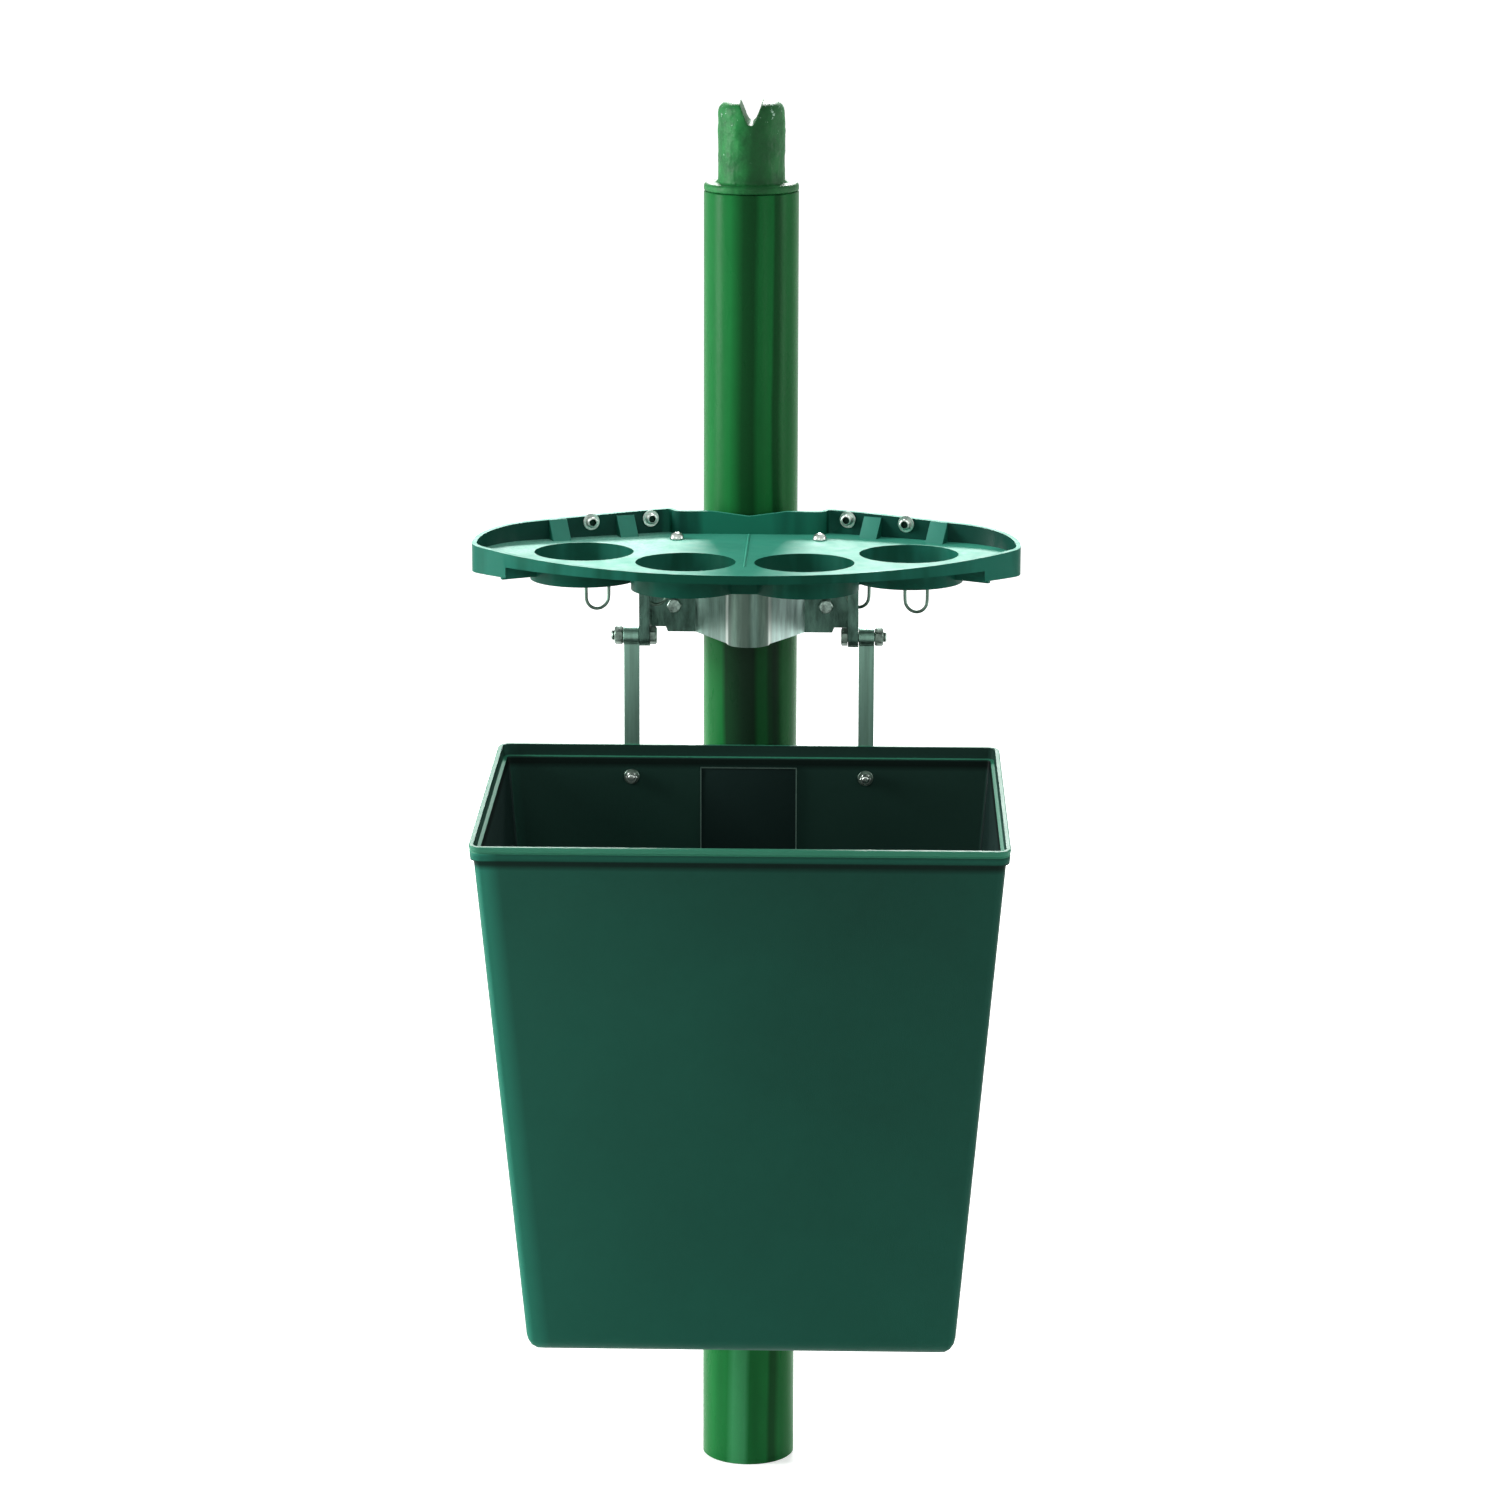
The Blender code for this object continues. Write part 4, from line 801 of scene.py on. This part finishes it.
def build_cap():
    """The cap's casting, whose stub is lumpy and worn round its notch."""
    piece = dressed("post_cap")
    divide = piece.modifiers.new("even faces", "REMESH")
    divide.mode = "VOXEL"
    divide.voxel_size = CAP_VOXEL
    graph = bpy.context.evaluated_depsgraph_get()
    mesh = bpy.data.meshes.new_from_object(piece.evaluated_get(graph), depsgraph=graph)
    piece.modifiers.remove(divide)
    piece.data = mesh
    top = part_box("post_cap")[1].z
    moves = []
    for vertex in mesh.vertices:
        share = min(max((vertex.co.z - STUB_FOOT_Z) / CAP_BLEND, 0.0), 1.0)
        wear = max((vertex.co.z - top + CAP_WEAR_DEPTH) / CAP_WEAR_DEPTH, 0.0)
        lumps = noise.fractal(vertex.co * CAP_LUMP_SCALE, 1.0, 2.0, 4) * (1 - CAP_WEAR_SMOOTHING * wear)
        moves.append(vertex.normal * share * (CAP_LUMP_HEIGHT * lumps - CAP_SINK - CAP_WEAR_SINK * wear))
    for vertex, move in zip(mesh.vertices, moves):
        vertex.co += move
    mesh.materials.clear()
    mesh.materials.append(materials["cast_enamel"])
    mesh.shade_smooth()


def build_tray():
    """The tray, with painted shade on its outside, walls and gussets, and the moulding's crease down its
    deck.
    """
    mesh = dressed("cup_tray", TRAY_ROUNDING).data
    outside, wall, gusset = 1, 2, 3
    for look in ("tray_outside", "tray_wall", "tray_gusset"):
        mesh.materials.append(materials[look])
    # Outward, downward and low faces take the painted shade of the outside, other upright faces that of the
    # walls, and the sloping gussets their own
    for face in mesh.polygons:
        centre, normal = face.center, face.normal
        outward = centre.x * normal.x + (centre.y - TRAY_MIDDLE_Y) * normal.y > 0
        upright = abs(normal.z) < UPRIGHT
        if normal.z < -UPRIGHT or (upright and (outward or centre.z < DECK_Z - BELOW_DECK)):
            face.material_index = outside
        elif upright:
            face.material_index = wall
        slopes = GUSSET_SLOPE[0] < normal.z < GUSSET_SLOPE[1]
        if slopes and centre.z > DECK_Z + ABOVE_DECK and face.area > GUSSET_LEAST_AREA:
            face.material_index = gusset

    arch = [math.radians(degrees) for degrees in range(0, 181, 30)]
    section = [(CREASE_HALF_WIDTH * math.cos(a), CREASE_HEIGHT * math.sin(a)) for a in arch]
    foot = -0.5 * CREASE_HEIGHT
    section = [(CREASE_HALF_WIDTH, foot)] + section + [(-CREASE_HALF_WIDTH, foot)]
    rings = [[Vector((x, y, DECK_Z + z)) for x, z in section] for y in CREASE_ENDS_Y]
    add_piece("deck_crease", rings_mesh("deck_crease", rings), "cup_tray", stands_for=False)


def build_saddle():
    """The clamp's casting, whose arms and lugs are painted darker than its nose, as shade."""
    mesh = dressed("clamp_saddle", CASTING_ROUNDING).data
    mesh.materials.append(materials["cast_shade"])
    for face in mesh.polygons:
        if abs(face.center.x) > ARM_START_X:
            face.material_index = 1


def groove_rim(mesh):
    """Cut a fine groove round the outside of the basket's lip, which leaves a bead above it."""
    up = Vector((0.0, -math.sin(RIM_TILT), math.cos(RIM_TILT)))
    bm = bmesh.new()
    bm.from_mesh(mesh)
    for step in (-1, 0, 1):
        level = Vector((0.0, 0.0, GROOVE_LEVEL + step * GROOVE_HALF_WIDTH))
        everything = bm.verts[:] + bm.edges[:] + bm.faces[:]
        bmesh.ops.bisect_plane(bm, geom=everything, plane_co=level, plane_no=up)
    bm.normal_update()
    centre_y = middle("litter_basket").y
    for vertex in bm.verts:
        away = abs((vertex.co - Vector((0.0, 0.0, GROOVE_LEVEL))).dot(up))
        outward = Vector((vertex.normal.x, vertex.normal.y, 0.0))
        if away < ON_PLANE and outward.dot(Vector((vertex.co.x, vertex.co.y - centre_y, 0.0))) > 0:
            vertex.co -= outward.normalized() * GROOVE_DEPTH
    bm.to_mesh(mesh)
    bm.free()


def build_basket():
    """The basket's shell with a painted highlight on its rim, painted shade inside, and a fine bead round its
    pad.
    """
    mesh = dressed("litter_basket", BASKET_ROUNDING).data
    groove_rim(mesh)
    inside, rim, pad = 1, 2, 3
    for look in ("basket_inside", "basket_rim", "pad_face"):
        mesh.materials.append(materials[look])
    centre_y = middle("litter_basket").y
    for face in mesh.polygons:
        centre, normal = face.center, face.normal
        inward = Vector((-centre.x, centre_y - centre.y, 0.0)).normalized()
        level = centre.z - centre.y * math.tan(RIM_TILT)
        # Faces on the rim take the painted highlight; other top and inward faces take painted shade, the
        # inner side walls in the pad's darker tone
        if normal.z > TOP_FACING:
            face.material_index = rim if level > LIP_LEVEL else inside
        elif normal.dot(inward) > INWARD_FACING:
            face.material_index = pad if abs(normal.x) > SIDE_FACING and level < LIP_LEVEL else inside
        elif level > GROOVE_LEVEL:
            face.material_index = rim
        on_pad = abs(centre.x) < PAD_HALF_WIDTH + PAD_MARGIN and PAD_LOW_Z < centre.z < PAD_TOP_Z
        if on_pad and normal.y < -FRONT_FACING and abs(centre.y - PAD_FACE_Y) < PAD_MARGIN:
            face.material_index = pad

    rings = []
    for inset, y in ((0.0, PAD_FACE_Y + BEAD_HEIGHT), (0.0, PAD_FACE_Y - BEAD_HEIGHT),
                     (BEAD_WIDTH, PAD_FACE_Y - BEAD_HEIGHT), (BEAD_WIDTH, PAD_FACE_Y + BEAD_HEIGHT)):
        half, foot, top = PAD_HALF_WIDTH - inset, PAD_LOW_Z + inset, PAD_TOP_Z - inset
        corners = ((-half, foot), (half, foot), (half, top), (-half, top))
        rings.append([Vector((x, y, z)) for x, z in corners])
    mesh = rings_mesh("pad_bead", rings, True)
    add_piece("pad_bead", mesh, "litter_basket", "pad_edge", stands_for=False)


def add_floor():
    """A pale floor that the camera sees as white, apart from the object's shadow."""
    bpy.ops.mesh.primitive_plane_add(size=FLOOR_SIZE)
    floor = bpy.context.object
    floor.name = "studio_floor"
    m = Nodes(bpy.data.materials.new("studio_floor"), empty=True)
    matte = m.new("BsdfDiffuse")
    matte.inputs["Color"].default_value = FLOOR_COLOUR
    far = m.new("VectorMath")
    far.operation = "LENGTH"
    m.link(m.place, far.inputs[0])
    glow = m.new("Emission")
    m.link(m.times(m.sees_white(), m.span(far.outputs["Value"], *FLOOR_GLOW)), glow.inputs["Strength"])
    both = m.new("AddShader")
    m.link(matte.outputs[0], both.inputs[0])
    m.link(glow.outputs[0], both.inputs[1])
    m.link(both.outputs[0], m.new("OutputMaterial").inputs["Surface"])
    floor.data.materials.append(m.owner)


def add_world():
    """White where it is seen, and a studio that is brighter behind the object and above it."""
    world = bpy.data.worlds.new("studio")
    bpy.context.scene.world = world
    m = Nodes(world, empty=True)
    around = m.coordinates["Generated"]
    behind = m.span(m.axis("Y", around), *STUDIO_BACK)
    above = m.span(m.axis("Z", around), *STUDIO_TOP)
    studio = m.new("Background")
    m.link(m.maths("ADD", behind, above), studio.inputs["Strength"])
    white = m.new("Background")
    white.inputs["Color"].default_value = WHITE
    either = m.new("MixShader")
    m.link(m.sees_white(), either.inputs["Fac"])
    m.link(studio.outputs[0], either.inputs[1])
    m.link(white.outputs[0], either.inputs[2])
    m.link(either.outputs[0], m.new("OutputWorld").inputs["Surface"])


def add_light(name, place, target, width, height, power):
    lamp = bpy.data.lights.new(name, "AREA")
    lamp.shape = "RECTANGLE"
    lamp.size = width
    lamp.size_y = height
    lamp.energy = power
    light = bpy.data.objects.new(name, lamp)
    bpy.context.scene.collection.objects.link(light)
    light.location = place
    light.rotation_euler = (Vector(target) - Vector(place)).to_track_quat("-Z", "Y").to_euler()


def add_camera():
    camera = bpy.data.cameras.new("camera")
    camera.lens = CAMERA_LENS
    camera.sensor_width = CAMERA_SENSOR
    camera.clip_end = CAMERA_FAR
    holder = bpy.data.objects.new("camera", camera)
    bpy.context.scene.collection.objects.link(holder)
    holder.location = (CAMERA_DISTANCE * math.sin(CAMERA_AZIMUTH),
                       -CAMERA_DISTANCE * math.cos(CAMERA_AZIMUTH), CAMERA_HEIGHT)
    look = (CAMERA_TARGET - holder.location).to_track_quat("-Z", "Y")
    roll = Matrix.Rotation(CAMERA_ROLL, 4, "Z")
    holder.rotation_euler = (look.to_matrix().to_4x4() @ roll).to_euler()
    bpy.context.scene.camera = holder


build_post()
build_cap()
build_tray()
build_basket()
build_fasteners()
dressed("rear_clamp", CASTING_ROUNDING)
build_saddle()
for name in ("hanger_strap_left", "hanger_strap_right"):
    dressed(name, STRAP_ROUNDING)
for name in ("hook_inner_left", "hook_inner_right", "hook_outer_left", "hook_outer_right"):
    dressed(name, smooth_levels=WIRE_SMOOTHING)

add_floor()
add_world()
for lamp in LAMPS:
    add_light(*lamp)
add_camera()
bpy.context.scene.view_settings.view_transform = "Standard"
